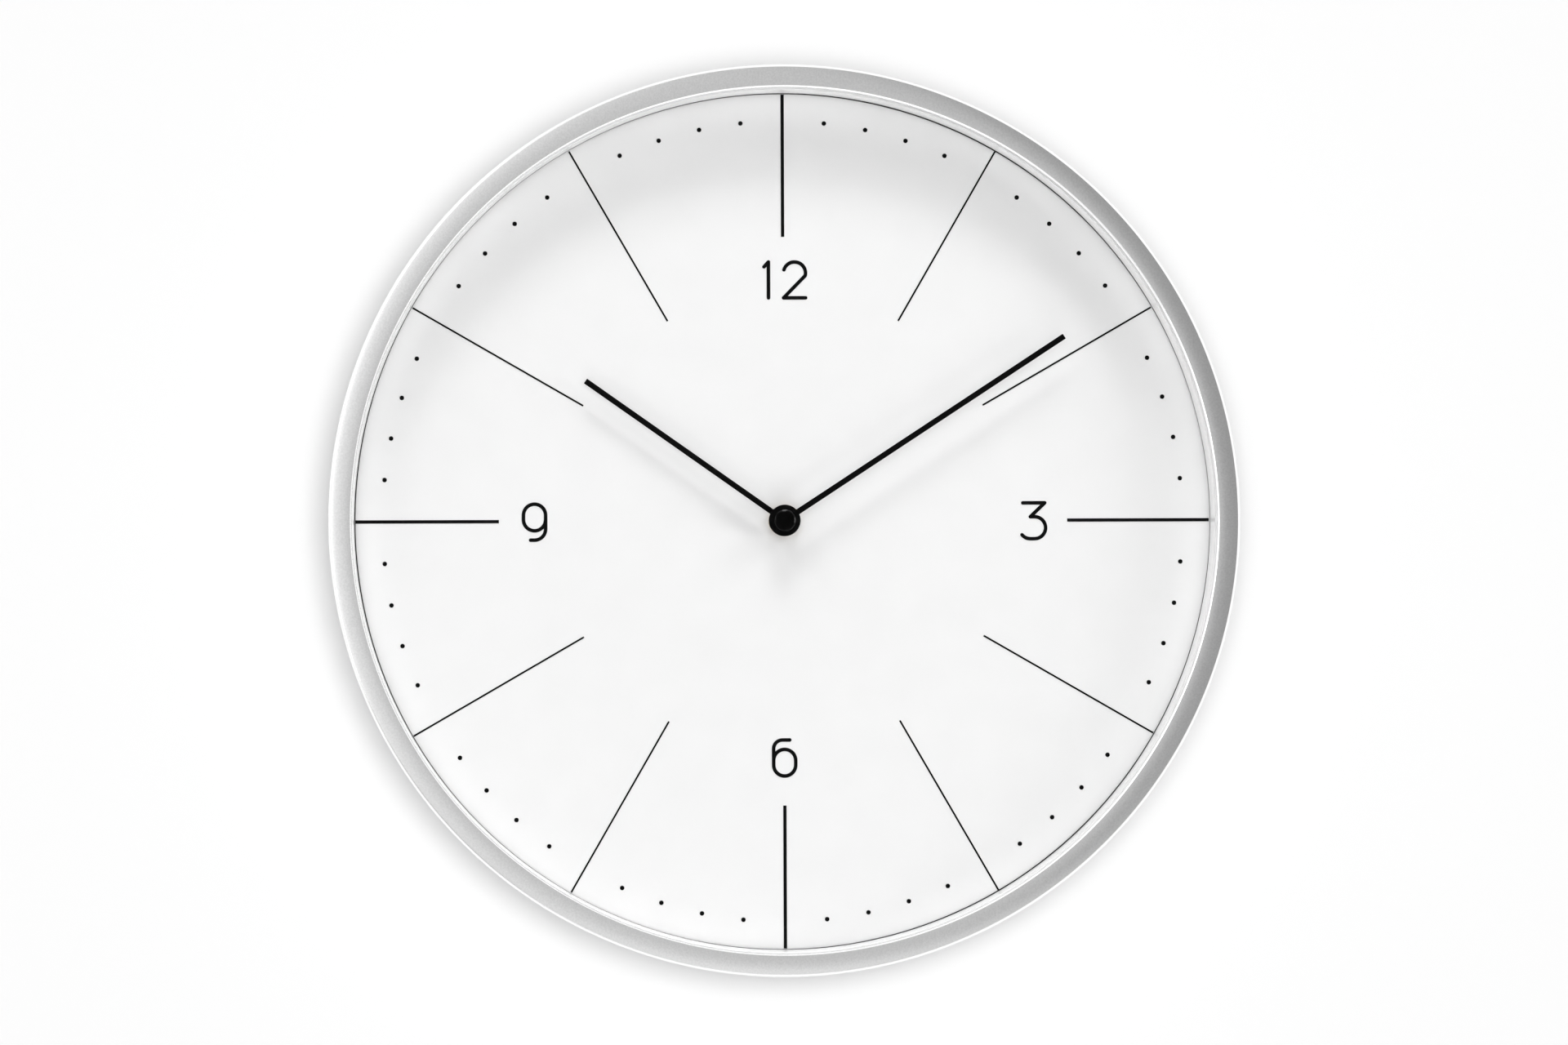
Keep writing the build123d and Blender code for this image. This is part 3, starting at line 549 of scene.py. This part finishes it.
def add_boss(bm, outer, bore, back, front):
    """Short collar under the eye, by which a hand is pressed on its shaft."""
    boss = turn([
        (bore, back, 0),
        (outer, back, boss_round),
        (outer, front, 0),
        (bore, front, 0),
    ], small_turn)
    mesh = bpy.data.meshes.new("boss")
    boss.to_mesh(mesh)
    boss.free()
    bm.from_mesh(mesh)
    bpy.data.meshes.remove(mesh)


def black_lacquer():
    """Satin black stoving lacquer."""
    material, tree, shader = start_finish("black lacquer", grey(0.004), 0.4, specular=0.12)
    vary(tree, speckle(tree, 0.0008), 0.34, 0.46, shader.inputs["Roughness"])
    relief(tree, speckle(tree, 0.0004), 0.000004, shader)
    return material


lacquer = black_lacquer()
hand_plans = [
    {"name": "hour_baton", "node": "hour_hand", "body": "hour_group", "length": 80.2,
     "clock_angle": 305.2, "level": 26.6, "bore": 3.22, "boss_back": 25.6, "boss_outer": 4.2},
    {"name": "minute_baton", "node": "minute_hand", "body": "minute_group", "length": 110.9,
     "clock_angle": 56.8, "level": 28.8, "bore": 1.52, "boss_back": 28.2, "boss_outer": 2.9},
]
for plan in hand_plans:
    hand = stamp_hand(plan["length"], plan["clock_angle"], plan["level"], plan["bore"])
    add_boss(hand, plan["boss_outer"], plan["bore"], plan["boss_back"], plan["level"])
    set_out(hand, plan["name"], plan["body"], "hand_black", lacquer, plan["node"])

# %% [markdown]
# ## The cap
# A small round nut closes the minute shaft. It is the one glossy black piece on the dial, and the
# facet round its top is what shows it: a lamp above draws a short bright arc there, and one at the
# right another. The facet is one more corner of the outline, with both its edges softened.

# %% Cap
cap_low, cap_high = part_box("hand_cap")
cap_radius = cap_high.x / mm
cap_back = -cap_high.y / mm
cap_front = -cap_low.y / mm
cap_facet = 0.65
cap_facet_drop = 0.42
cap_round = 0.15
cap_foot_round = 0.1
cap_bore = 1.22
cap_roof = 0.6

cap = turn([
    (0, cap_front, 0),
    (cap_radius - cap_facet, cap_front, cap_round),
    (cap_radius, cap_front - cap_facet_drop, cap_round),
    (cap_radius, cap_back, cap_foot_round),
    (cap_bore, cap_back, 0),
    (cap_bore, cap_front - cap_roof, 0),
    (0, cap_front - cap_roof, 0),
], small_turn)


def black_gloss():
    """Polished black moulding."""
    material, tree, shader = start_finish("black gloss", grey(0.003), 0.16, specular=0.14)
    vary(tree, speckle(tree, 0.001), 0.12, 0.2, shader.inputs["Roughness"])
    return material


shaft_cap = set_out(cap, "shaft_cap", "minute_group", "cap_black", black_gloss(), "hand_cap")

# %% [markdown]
# ## The dial and its print
# The dial is a flat painted disc and the print a thin raised film, so the nodes of the frame are
# already right. Paint is never quite even: a faint cloud and a very fine tooth keep it from looking
# like paper.

# %% Dial and print finishes
def dial_paint():
    """Matt white paint with a faint cloud and a fine tooth."""
    material, tree, shader = start_finish("dial paint", grey(0.88), 0.55, specular=0.25)
    tint(tree, speckle(tree, 0.012), grey(0.872), grey(0.888), shader.inputs["Base Color"])
    relief(tree, speckle(tree, 0.0005), 0.000003, shader)
    return material


def print_ink():
    """Black silk-screen ink."""
    material, tree, shader = start_finish("print ink", grey(0.004), 0.5, specular=0.12)
    tint(tree, speckle(tree, 0.0004), grey(0.003), grey(0.006), shader.inputs["Base Color"])
    return material


def dress(node, finish):
    """Gives a node of the frame its finish."""
    slots = nodes[node].material_slots
    if slots:
        slots[0].material = finish
    else:
        nodes[node].data.materials.append(finish)


ink = print_ink()
dress("dial", dial_paint())
for node in ("hour_lines", "minute_dots", "numerals"):
    dress(node, ink)
print("dial and print dressed")

# %% [markdown]
# ## Moulded plastics and plated metals
# The back and the works need two families of finish. Moulded plastic has a sparked grain from its
# tool: small bumps and a slightly uneven shade. Stamped and turned metal is smoother and mirrors
# its surroundings.

# %% Plastics and metals
grains_per_shade = 4


def moulded(name, dark, light, roughness, grain, height):
    """Plastic from a sparked mould."""
    material, tree, shader = start_finish(name, light, roughness, specular=0.35)
    shades = speckle(tree, grains_per_shade * grain)
    tint(tree, shades, dark, light, shader.inputs["Base Color"])
    relief(tree, speckle(tree, grain), height, shader)
    return material


def plated(name, dark, light, low, high):
    """Bare or plated metal with fine handling marks."""
    material, tree, shader = start_finish(name, light, low, metallic=1.0)
    mottle = speckle(tree, 0.0009, 4.0)
    tint(tree, mottle, dark, light, shader.inputs["Base Color"])
    vary(tree, mottle, low, high, shader.inputs["Roughness"])
    return material


finishes = {
    "back_plastic": moulded("back plastic", grey(0.50), grey(0.56), 0.5, 0.0006, 0.00003),
    "movement_black": moulded("movement plastic", grey(0.012), grey(0.022), 0.45, 0.0004, 0.00002),
    "knob_plastic": moulded("knob plastic", (0.42, 0.03, 0.02), (0.50, 0.04, 0.03), 0.35, 0.0004,
                            0.000008),
    "gear_plastic": moulded("gear plastic", (0.74, 0.72, 0.66), (0.80, 0.78, 0.72), 0.35, 0.0003,
                            0.000004),
    "bobbin_plastic": moulded("bobbin plastic", grey(0.7), grey(0.78), 0.4, 0.0003, 0.000004),
    "chip_resin": moulded("chip resin", grey(0.01), grey(0.02), 0.3, 0.0005, 0.00001),
    "board_resin": moulded("board resin", (0.03, 0.14, 0.06), (0.05, 0.2, 0.08), 0.35, 0.0008,
                           0.000006),
    "washer_rubber": rubber_and_shade_line,
    "screw_steel": plated("screw steel", grey(0.50), grey(0.62), 0.22, 0.34),
    "contact_metal": plated("contact metal", grey(0.62), grey(0.72), 0.2, 0.3),
    "can_metal": plated("can metal", grey(0.62), grey(0.7), 0.18, 0.28),
    "motor_steel": plated("motor steel", grey(0.42), grey(0.52), 0.3, 0.42),
    "magnet": plated("magnet", grey(0.10), grey(0.16), 0.45, 0.55),
    "nut_brass": plated("nut brass", (0.66, 0.48, 0.22), (0.76, 0.57, 0.28), 0.24, 0.36),
    "coil_copper": plated("coil copper", (0.62, 0.26, 0.12), (0.76, 0.36, 0.18), 0.25, 0.35),
}
dressed = 0
for row in frame["record"]["subparts"]:
    if row["material_slot"] in finishes:
        dress(row["node"], finishes[row["material_slot"]])
        dressed += 1
print("nodes dressed in plastic or metal:", dressed)

# %% [markdown]
# ## The cell
# One AA cell lies in the bay at the back. It is a steel can in a shrunk sleeve, and the sleeve's
# folded ends leave a sunk steel plate and the button showing. The lathe turns it upright, then it
# is laid along X. The faces inside the folds get the steel, and the sleeve takes its bands from the
# place along X.

# %% Cell
cell_low, cell_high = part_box("battery")
cell_middle = (cell_low + cell_high) / 2
cell_radius = (cell_high.z - cell_low.z) / 2 / mm
cell_length = (cell_high.x - cell_low.x) / mm
button_radius = 2.7
button_height = 1.0
button_round = 0.4
sleeve_fold = 1.5
sleeve_stand = 0.1
sleeve_round = 0.5
fold_round = 0.15
plate_margin = 0.7
plate_sink = 0.35
plate_round = 0.3
steel_margin = 0.05
sleeve_mouth = cell_radius - sleeve_fold
plate_radius = sleeve_mouth - plate_margin
shoulder = cell_length - button_height

cell = turn([
    (0, 0, 0),
    (plate_radius, 0, plate_round),
    (plate_radius, plate_sink, 0),
    (sleeve_mouth, plate_sink, 0),
    (sleeve_mouth, sleeve_stand, fold_round),
    (cell_radius, sleeve_stand, sleeve_round),
    (cell_radius, shoulder, sleeve_round),
    (sleeve_mouth, shoulder, fold_round),
    (sleeve_mouth, shoulder - plate_sink, 0),
    (button_radius, shoulder - plate_sink, fold_round),
    (button_radius, cell_length, button_round),
    (0, cell_length, 0),
], small_turn)
for face in cell.faces:
    middle = face.calc_center_median()
    face.material_index = int(math.hypot(middle.x, middle.z) < (sleeve_mouth - steel_margin) * mm)
lying = Matrix.Rotation(math.radians(90), 3, "Z")
bmesh.ops.rotate(cell, verts=cell.verts[:], cent=(0, 0, 0), matrix=lying)
bmesh.ops.translate(cell, verts=cell.verts[:], vec=(cell_low.x, cell_middle.y, cell_middle.z))

sleeve_green = (0.05, 0.16, 0.13)
sleeve_pale = (0.75, 0.76, 0.72)
sleeve_light = (0.36, 0.42, 0.40)
pale_starts = 0.74
light_starts = 0.76


def cell_sleeve():
    """Printed shrink sleeve: a dark field, a pale line and a light end at the button."""
    material, tree, shader = start_finish("cell sleeve", sleeve_green, 0.28)
    place = tree.nodes.new("ShaderNodeTexCoord")
    parts = tree.nodes.new("ShaderNodeSeparateXYZ")
    along = tree.nodes.new("ShaderNodeMapRange")
    along.inputs["From Min"].default_value = cell_low.x
    along.inputs["From Max"].default_value = cell_high.x
    bands = tree.nodes.new("ShaderNodeValToRGB")
    bands.color_ramp.interpolation = "CONSTANT"
    bands.color_ramp.elements[0].color = (*sleeve_green, 1.0)
    bands.color_ramp.elements[1].position = pale_starts
    bands.color_ramp.elements[1].color = (*sleeve_pale, 1.0)
    light_end = bands.color_ramp.elements.new(light_starts)
    light_end.color = (*sleeve_light, 1.0)
    tree.links.new(place.outputs["Object"], parts.inputs["Vector"])
    tree.links.new(parts.outputs["X"], along.inputs["Value"])
    tree.links.new(along.outputs["Result"], bands.inputs["Fac"])
    tree.links.new(bands.outputs["Color"], shader.inputs["Base Color"])
    vary(tree, speckle(tree, 0.0015), 0.24, 0.34, shader.inputs["Roughness"])
    return material


cell_piece = set_out(cell, "aa_cell", "battery_group", "battery_label", cell_sleeve(), "battery")
cell_piece.data.materials.append(finishes["can_metal"])

# %% [markdown]
# ## The setting wheel
# Behind the works a small red wheel sets the hands. Its rim is fluted for the thumb, and its face
# is dished. A circle with many points takes the flutes from a formula, an extrude gives the
# thickness, an inset sinks the middle and a bevel softens the edge.

# %% Setting wheel
wheel_low, wheel_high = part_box("setting_knob")
wheel_middle = (wheel_low + wheel_high) / 2
wheel_radius = (wheel_high.x - wheel_low.x) / 2
wheel_thickness = wheel_high.y - wheel_low.y
wheel_flutes = 20
points_per_flute = 8
flute_depth = 0.5 * mm
dish_border = 1.3 * mm
dish_depth = 0.45 * mm
dish_wall = 0.35 * mm
wheel_edge = 0.22 * mm
wheel_edge_steps = 3
square_edge = math.radians(60)

wheel = bmesh.new()
laid_flat = Matrix.Rotation(math.radians(-90), 4, "X")
facing_back = Matrix.Translation((0.0, wheel_low.y, 0.0)) @ laid_flat
bmesh.ops.create_circle(wheel, cap_ends=True, segments=wheel_flutes * points_per_flute,
                        radius=wheel_radius, matrix=facing_back)
for point in wheel.verts:
    around = math.atan2(point.co.x, point.co.z)
    flute = max(0.0, math.cos(wheel_flutes * around)) ** 2
    shrink = 1.0 - flute * flute_depth / wheel_radius
    point.co.x *= shrink
    point.co.z *= shrink
base = wheel.faces[:]
grown = bmesh.ops.extrude_face_region(wheel, geom=base, use_keep_orig=True)
top_points = [item for item in grown["geom"] if isinstance(item, bmesh.types.BMVert)]
bmesh.ops.translate(wheel, verts=top_points, vec=(0.0, wheel_thickness, 0.0))
bmesh.ops.recalc_face_normals(wheel, faces=wheel.faces[:])
ends = [face for face in wheel.faces if len(face.verts) > 4]
top = max(ends, key=lambda face: face.calc_center_median().y)
bmesh.ops.inset_region(wheel, faces=[top], thickness=dish_border, depth=0.0)
bmesh.ops.inset_region(wheel, faces=[top], thickness=dish_wall, depth=-dish_depth)
outer = [edge for edge in wheel.edges
         if all(abs(vert.co.y - wheel_high.y) < same_place for vert in edge.verts)
         and edge.calc_face_angle(0.0) > square_edge]
bmesh.ops.bevel(wheel, geom=outer, offset=wheel_edge, segments=wheel_edge_steps,
                profile=round_profile, affect="EDGES", material=-1)
bmesh.ops.translate(wheel, verts=wheel.verts[:], vec=(wheel_middle.x, 0.0, wheel_middle.z))
set_out(wheel, "setting_wheel", "motion_group", "knob_plastic", finishes["knob_plastic"],
        "setting_knob")

# %% [markdown]
# ## Moulded marks
# The rear plate of the works carries small raised marks, as such plates do: plus and minus by the
# bay, and a bent double arrow round the setting wheel. Bars are scaled cubes. The arrow's arc is a
# small rectangle spun part of the way round, and its heads are flat triangles with thickness.

# %% Moulded marks
plate_low, plate_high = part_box("movement_cover")
mark_proud = 0.25 * mm
mark_bar = 0.5 * mm
mark_length = 2.6 * mm
mark_sink = 0.05 * mm
mark_inset = Vector((5.5 * mm, 0.0, 3.2 * mm))
mark_level = plate_high.y - mark_sink + (mark_proud + mark_sink) / 2
arrow_radius = 8.0 * mm
arrow_start = math.radians(-50)
arrow_sweep = math.radians(100)
arrow_steps = 24
arrow_head = 1.3 * mm
head_half = 0.7
head_ahead = 1.3

marks = bmesh.new()


def add_bar(bm, x, z, length, height):
    """A raised bar on the rear plate."""
    size = Matrix.Diagonal((length, mark_proud + mark_sink, height, 1.0))
    bmesh.ops.create_cube(bm, size=1.0, matrix=Matrix.Translation((x, mark_level, z)) @ size)


def add_arrow_head(bm, angle, ahead):
    """A raised triangle at one end of the arc, pointing along it."""
    radial = Vector((math.sin(angle), 0.0, math.cos(angle)))
    along = Vector((math.cos(angle), 0.0, -math.sin(angle))) * ahead
    root = wheel_middle + radial * arrow_radius
    root.y = plate_high.y - mark_sink
    corners = [root + radial * arrow_head * head_half,
               root - radial * arrow_head * head_half,
               root + along * arrow_head * head_ahead]
    face = bm.faces.new([bm.verts.new(corner) for corner in corners])
    lifted = bmesh.ops.extrude_face_region(bm, geom=[face], use_keep_orig=True)
    points = [item for item in lifted["geom"] if isinstance(item, bmesh.types.BMVert)]
    bmesh.ops.translate(bm, verts=points, vec=(0.0, mark_proud + mark_sink, 0.0))


sign_x = plate_high.x - mark_inset.x
sign_z = plate_low.z + mark_inset.z
for side in (-1, 1):
    add_bar(marks, side * sign_x, sign_z, mark_length, mark_bar)
add_bar(marks, sign_x, sign_z, mark_bar, mark_length)
start_out = Vector((math.sin(arrow_start), 0.0, math.cos(arrow_start)))
wheel_foot = wheel_middle * Vector((1, 0, 1))
section = [marks.verts.new(wheel_foot + start_out * (arrow_radius + step * mark_bar / 2)
                           + Vector((0.0, plate_high.y + lift, 0.0)))
           for step, lift in ((-1, -mark_sink), (1, -mark_sink), (1, mark_proud), (-1, mark_proud))]
section_face = marks.faces.new(section)
bmesh.ops.spin(marks, geom=[section_face], cent=wheel_middle, axis=(0, 1, 0), angle=arrow_sweep,
               steps=arrow_steps, use_merge=False, use_duplicate=False)
add_arrow_head(marks, arrow_start, -1)
add_arrow_head(marks, arrow_start + arrow_sweep, 1)
bmesh.ops.recalc_face_normals(marks, faces=marks.faces[:])
set_out(marks, "moulded_marks", "clock_case", "movement_black", finishes["movement_black"])

# %% [markdown]
# ## The studio
# The clock hangs on a white wall. For a clean white ground the wall adds a little light of its own,
# but only to rays that come from the camera, a mirror or a glass, so it never lights the clock.
# What is left of the wall's shade is the soft shadow round the ring. The wall is clear when seen
# from behind, so that the clock's back can be looked at.

# %% Wall
wall_gap = 0.5 * mm
wall_half = 4.0
wall_white = 0.86
wall_glow = 0.13


def wall_paint():
    """White wall, one-sided, with a glow for camera, mirror and glass rays only."""
    material = bpy.data.materials.new("wall paint")
    material.use_nodes = True
    tree = material.node_tree
    tree.nodes.clear()
    out = tree.nodes.new("ShaderNodeOutputMaterial")
    paint = tree.nodes.new("ShaderNodeBsdfDiffuse")
    paint.inputs["Color"].default_value = (*grey(wall_white), 1.0)
    glow = tree.nodes.new("ShaderNodeEmission")
    rays = tree.nodes.new("ShaderNodeLightPath")
    seen = tree.nodes.new("ShaderNodeMath")
    seen.operation = "ADD"
    seen_or_through = tree.nodes.new("ShaderNodeMath")
    seen_or_through.operation = "ADD"
    strength = tree.nodes.new("ShaderNodeMath")
    strength.operation = "MULTIPLY"
    strength.inputs[1].default_value = wall_glow
    both = tree.nodes.new("ShaderNodeAddShader")
    clear = tree.nodes.new("ShaderNodeBsdfTransparent")
    side = tree.nodes.new("ShaderNodeNewGeometry")
    let_through = tree.nodes.new("ShaderNodeMath")
    let_through.operation = "MAXIMUM"
    mix = tree.nodes.new("ShaderNodeMixShader")
    link = tree.links.new
    link(rays.outputs["Is Camera Ray"], seen.inputs[0])
    link(rays.outputs["Is Glossy Ray"], seen.inputs[1])
    link(seen.outputs[0], seen_or_through.inputs[0])
    link(rays.outputs["Is Transmission Ray"], seen_or_through.inputs[1])
    link(seen_or_through.outputs[0], strength.inputs[0])
    link(strength.outputs[0], glow.inputs["Strength"])
    link(paint.outputs["BSDF"], both.inputs[0])
    link(glow.outputs["Emission"], both.inputs[1])
    link(side.outputs["Backfacing"], let_through.inputs[0])
    link(rays.outputs["Is Shadow Ray"], let_through.inputs[1])
    link(let_through.outputs[0], mix.inputs["Fac"])
    link(both.outputs["Shader"], mix.inputs[1])
    link(clear.outputs["BSDF"], mix.inputs[2])
    link(mix.outputs["Shader"], out.inputs["Surface"])
    return material


wall_mesh = bmesh.new()
facing_front = Matrix.Translation((0.0, wall_gap, 0.0)) @ Matrix.Rotation(math.radians(90), 4, "X")
bmesh.ops.create_grid(wall_mesh, x_segments=1, y_segments=1, size=wall_half, matrix=facing_front)
wall_data = bpy.data.meshes.new("wall")
wall_mesh.to_mesh(wall_data)
wall_mesh.free()
wall_data.materials.append(wall_paint())
wall = bpy.data.objects.new("wall", wall_data)
bpy.context.scene.collection.objects.link(wall)
print("wall faces", tuple(round(part) for part in wall_data.polygons[0].normal))

# %% [markdown]
# ## The room
# The room itself gives only a dim, even light. For the rays of mirrors it is dark in front, so that
# black lacquer stays black, and bright at the sides, so that the ring's narrow facets show as white
# lines. The view is set to Standard, which shows a colour as it is written.

# %% World
room_level = 0.12
mirrored_front = 0.0
mirrored_side = 1.15
side_starts = -0.6
side_full = -0.2


def set_world():
    """A dim room to light the clock, bright sides for mirrors, plain white for the camera."""
    world = bpy.data.worlds.new("studio")
    world.use_nodes = True
    bpy.context.scene.world = world
    tree = world.node_tree
    tree.nodes.clear()
    link = tree.links.new
    out = tree.nodes.new("ShaderNodeOutputWorld")
    rays = tree.nodes.new("ShaderNodeLightPath")
    white = tree.nodes.new("ShaderNodeBackground")
    room = tree.nodes.new("ShaderNodeBackground")
    mirrored = tree.nodes.new("ShaderNodeBackground")
    for ground in (white, room, mirrored):
        ground.inputs["Color"].default_value = (*grey(1.0), 1.0)
    room.inputs["Strength"].default_value = room_level
    heading = tree.nodes.new("ShaderNodeTexCoord")
    parts = tree.nodes.new("ShaderNodeSeparateXYZ")
    fade = tree.nodes.new("ShaderNodeMapRange")
    fade.inputs["From Min"].default_value = side_starts
    fade.inputs["From Max"].default_value = side_full
    fade.inputs["To Min"].default_value = mirrored_front
    fade.inputs["To Max"].default_value = mirrored_side
    for_mirrors = tree.nodes.new("ShaderNodeMixShader")
    for_camera = tree.nodes.new("ShaderNodeMixShader")
    link(heading.outputs["Generated"], parts.inputs["Vector"])
    link(parts.outputs["Y"], fade.inputs["Value"])
    link(fade.outputs["Result"], mirrored.inputs["Strength"])
    link(rays.outputs["Is Glossy Ray"], for_mirrors.inputs["Fac"])
    link(room.outputs["Background"], for_mirrors.inputs[1])
    link(mirrored.outputs["Background"], for_mirrors.inputs[2])
    link(rays.outputs["Is Camera Ray"], for_camera.inputs["Fac"])
    link(for_mirrors.outputs["Shader"], for_camera.inputs[1])
    link(white.outputs["Background"], for_camera.inputs[2])
    link(for_camera.outputs["Shader"], out.inputs["Surface"])


set_world()
bpy.context.scene.view_settings.view_transform = "Standard"
print("room level", room_level, "and mirrored sides", mirrored_side)

# %% [markdown]
# ## The lamps
# The light is a tent of soft boxes. The strongest stand high above, far enough to light the dial
# evenly, and low enough towards the wall that the ring's shadow reaches well into the dial. Weaker
# ones at the right, below and at the left keep that shadow pale, and a large round lamp by the
# camera fills the rest. A box is placed as a clockmaker would say it: so many degrees off the
# clock's axis, at such an hour.
#
# Light linking tells a lamp what it may light. The boxes leave the wall alone, and the wall has its
# own lamps, so that the soft shadow round the ring can be set without changing the dial. One box
# from low left lights only the white inner ring, and three show only as highlights on the cap. A
# last box behind the wall's plane lights the clock's back.

# %% Lamps
def link_to(name, thing, state):
    """A list of what a lamp may light: only the thing, or all but the thing."""
    receivers = bpy.data.collections.new(name)
    receivers.objects.link(thing)
    receivers.collection_objects[0].light_linking.link_state = state
    return receivers


def hang_lamp(name, shape, tilt, hour_angle, distance, size, power, receivers):
    """A soft box aimed at the clock, at a tilt off its axis and an angle as on its dial."""
    light = bpy.data.lights.new(name, "AREA")
    light.shape = shape
    light.size, light.size_y = size
    light.energy = power
    lamp = bpy.data.objects.new(name, light)
    lean, around = math.radians(tilt), math.radians(hour_angle)
    way = Vector((math.sin(lean) * math.sin(around),
                  -math.cos(lean),
                  math.sin(lean) * math.cos(around)))
    lamp.location = way * distance
    lamp.rotation_euler = (-way).to_track_quat("-Z", "Y").to_euler()
    lamp.visible_camera = False
    if receivers:
        lamp.light_linking.receiver_collection = receivers
    bpy.context.scene.collection.objects.link(lamp)
    return lamp


off_wall = link_to("off_wall", wall, "EXCLUDE")
wall_only = link_to("wall_only", wall, "INCLUDE")
inner_only = link_to("inner_only", inner_ring, "INCLUDE")
cap_only = link_to("cap_only", shaft_cap, "INCLUDE")
box_distance = 4.5
front_distance = 2.6
wall_distance = 3.0
rear_distance = 2.6
strip_tilt = 66.5
strip = (1.9, 0.87)
wide_strip = (1.9, 1.1)
large_box = (2.4, 2.2)
cap_box = (1.9, 1.9)
rear_size = (1.6, 1.6)
front_disk = (2.1, 2.1)
wall_disk = (1.3, 1.3)
wide_wall_disk = (2.8, 2.8)
slant_disk = (0.9, 0.9)

boxes = [
    hang_lamp("top_strip", "RECTANGLE", strip_tilt, 0, box_distance, strip, 95.0, off_wall),
    hang_lamp("upper_right_strip", "RECTANGLE", strip_tilt, 50, box_distance, strip, 46.0,
              off_wall),
    hang_lamp("upper_left_strip", "RECTANGLE", strip_tilt, -35, box_distance, strip, 45.0,
              off_wall),
    hang_lamp("right_strip", "RECTANGLE", 69, 95, box_distance, wide_strip, 67.0, off_wall),
    hang_lamp("front_round", "DISK", 0, 0, front_distance, front_disk, 27.0, off_wall),
    hang_lamp("low_front_box", "RECTANGLE", 35, 180, box_distance, large_box, 21.0, off_wall),
    hang_lamp("low_box", "RECTANGLE", 60, 180, box_distance, large_box, 28.0, off_wall),
    hang_lamp("left_box", "RECTANGLE", 60, 265, box_distance, large_box, 26.0, off_wall),
]
for lamp in boxes:
    lamp.visible_glossy = False
hang_lamp("wall_round", "DISK", 0, 0, wall_distance, wall_disk, 44.0, wall_only)
hang_lamp("wall_wide", "DISK", 0, 0, wall_distance, wide_wall_disk, 44.0, wall_only)
hang_lamp("wall_slant", "DISK", 7, 45, wall_distance, slant_disk, 6.0, wall_only)
hang_lamp("inner_low", "RECTANGLE", 60, 215, box_distance, large_box, 45.0, inner_only)
cap_boxes = [
    hang_lamp("cap_top", "RECTANGLE", strip_tilt, 0, box_distance, cap_box, 480.0, cap_only),
    hang_lamp("cap_right", "RECTANGLE", strip_tilt, 88, box_distance, cap_box, 70.0, cap_only),
    hang_lamp("cap_left", "RECTANGLE", strip_tilt, -75, box_distance, cap_box, 12.0, cap_only),
]
for lamp in cap_boxes:
    lamp.visible_diffuse = False
rear_box = hang_lamp("rear_box", "RECTANGLE", 135, -35, rear_distance, rear_size, 60.0, None)
rear_box.visible_glossy = False

# %% [markdown]
# ## Panels for the metal
# Satin metal shows a blurred picture of what stands before it. On this ring the left is bright and
# the right is grey, with a smooth change between, so a row of upright panels stands close before
# the clock, each dimmer than its left neighbour, and one lies low on the right. Only the ring sees
# them, so they cost the dial nothing.

# %% Panels
ring_only = link_to("ring_only", silver_ring, "INCLUDE")
panel_level = -0.338


def stand_panel(name, left, right, low, high, brightness):
    """A panel parallel to the dial, from edge to edge in metres, that only the ring mirrors."""
    light = bpy.data.lights.new(name, "AREA")
    light.shape = "RECTANGLE"
    light.size = right - left
    light.size_y = high - low
    light.energy = brightness * math.pi * light.size * light.size_y
    panel = bpy.data.objects.new(name, light)
    panel.location = ((left + right) / 2, panel_level, (low + high) / 2)
    panel.rotation_euler = Vector((0.0, 1.0, 0.0)).to_track_quat("-Z", "Y").to_euler()
    panel.visible_camera = False
    panel.visible_diffuse = False
    panel.light_linking.receiver_collection = ring_only
    bpy.context.scene.collection.objects.link(panel)


stand_panel("far_left_panel", -0.7, -0.3, -0.2, 0.6, 2.3)
stand_panel("left_panel", -0.3, -0.1, -0.6, 0.6, 1.09)
stand_panel("middle_panel", -0.1, 0.1, -0.6, 0.6, 0.81)
stand_panel("right_panel", 0.1, 0.3, -0.6, 0.6, 0.46)
stand_panel("far_right_panel", 0.3, 0.7, -0.2, 0.6, 0.41)
stand_panel("low_panel", -0.1, 0.7, -0.6, -0.2, 0.47)
print("panels stand", round(-panel_level - ring_depth * mm, 3), "m before the ring")
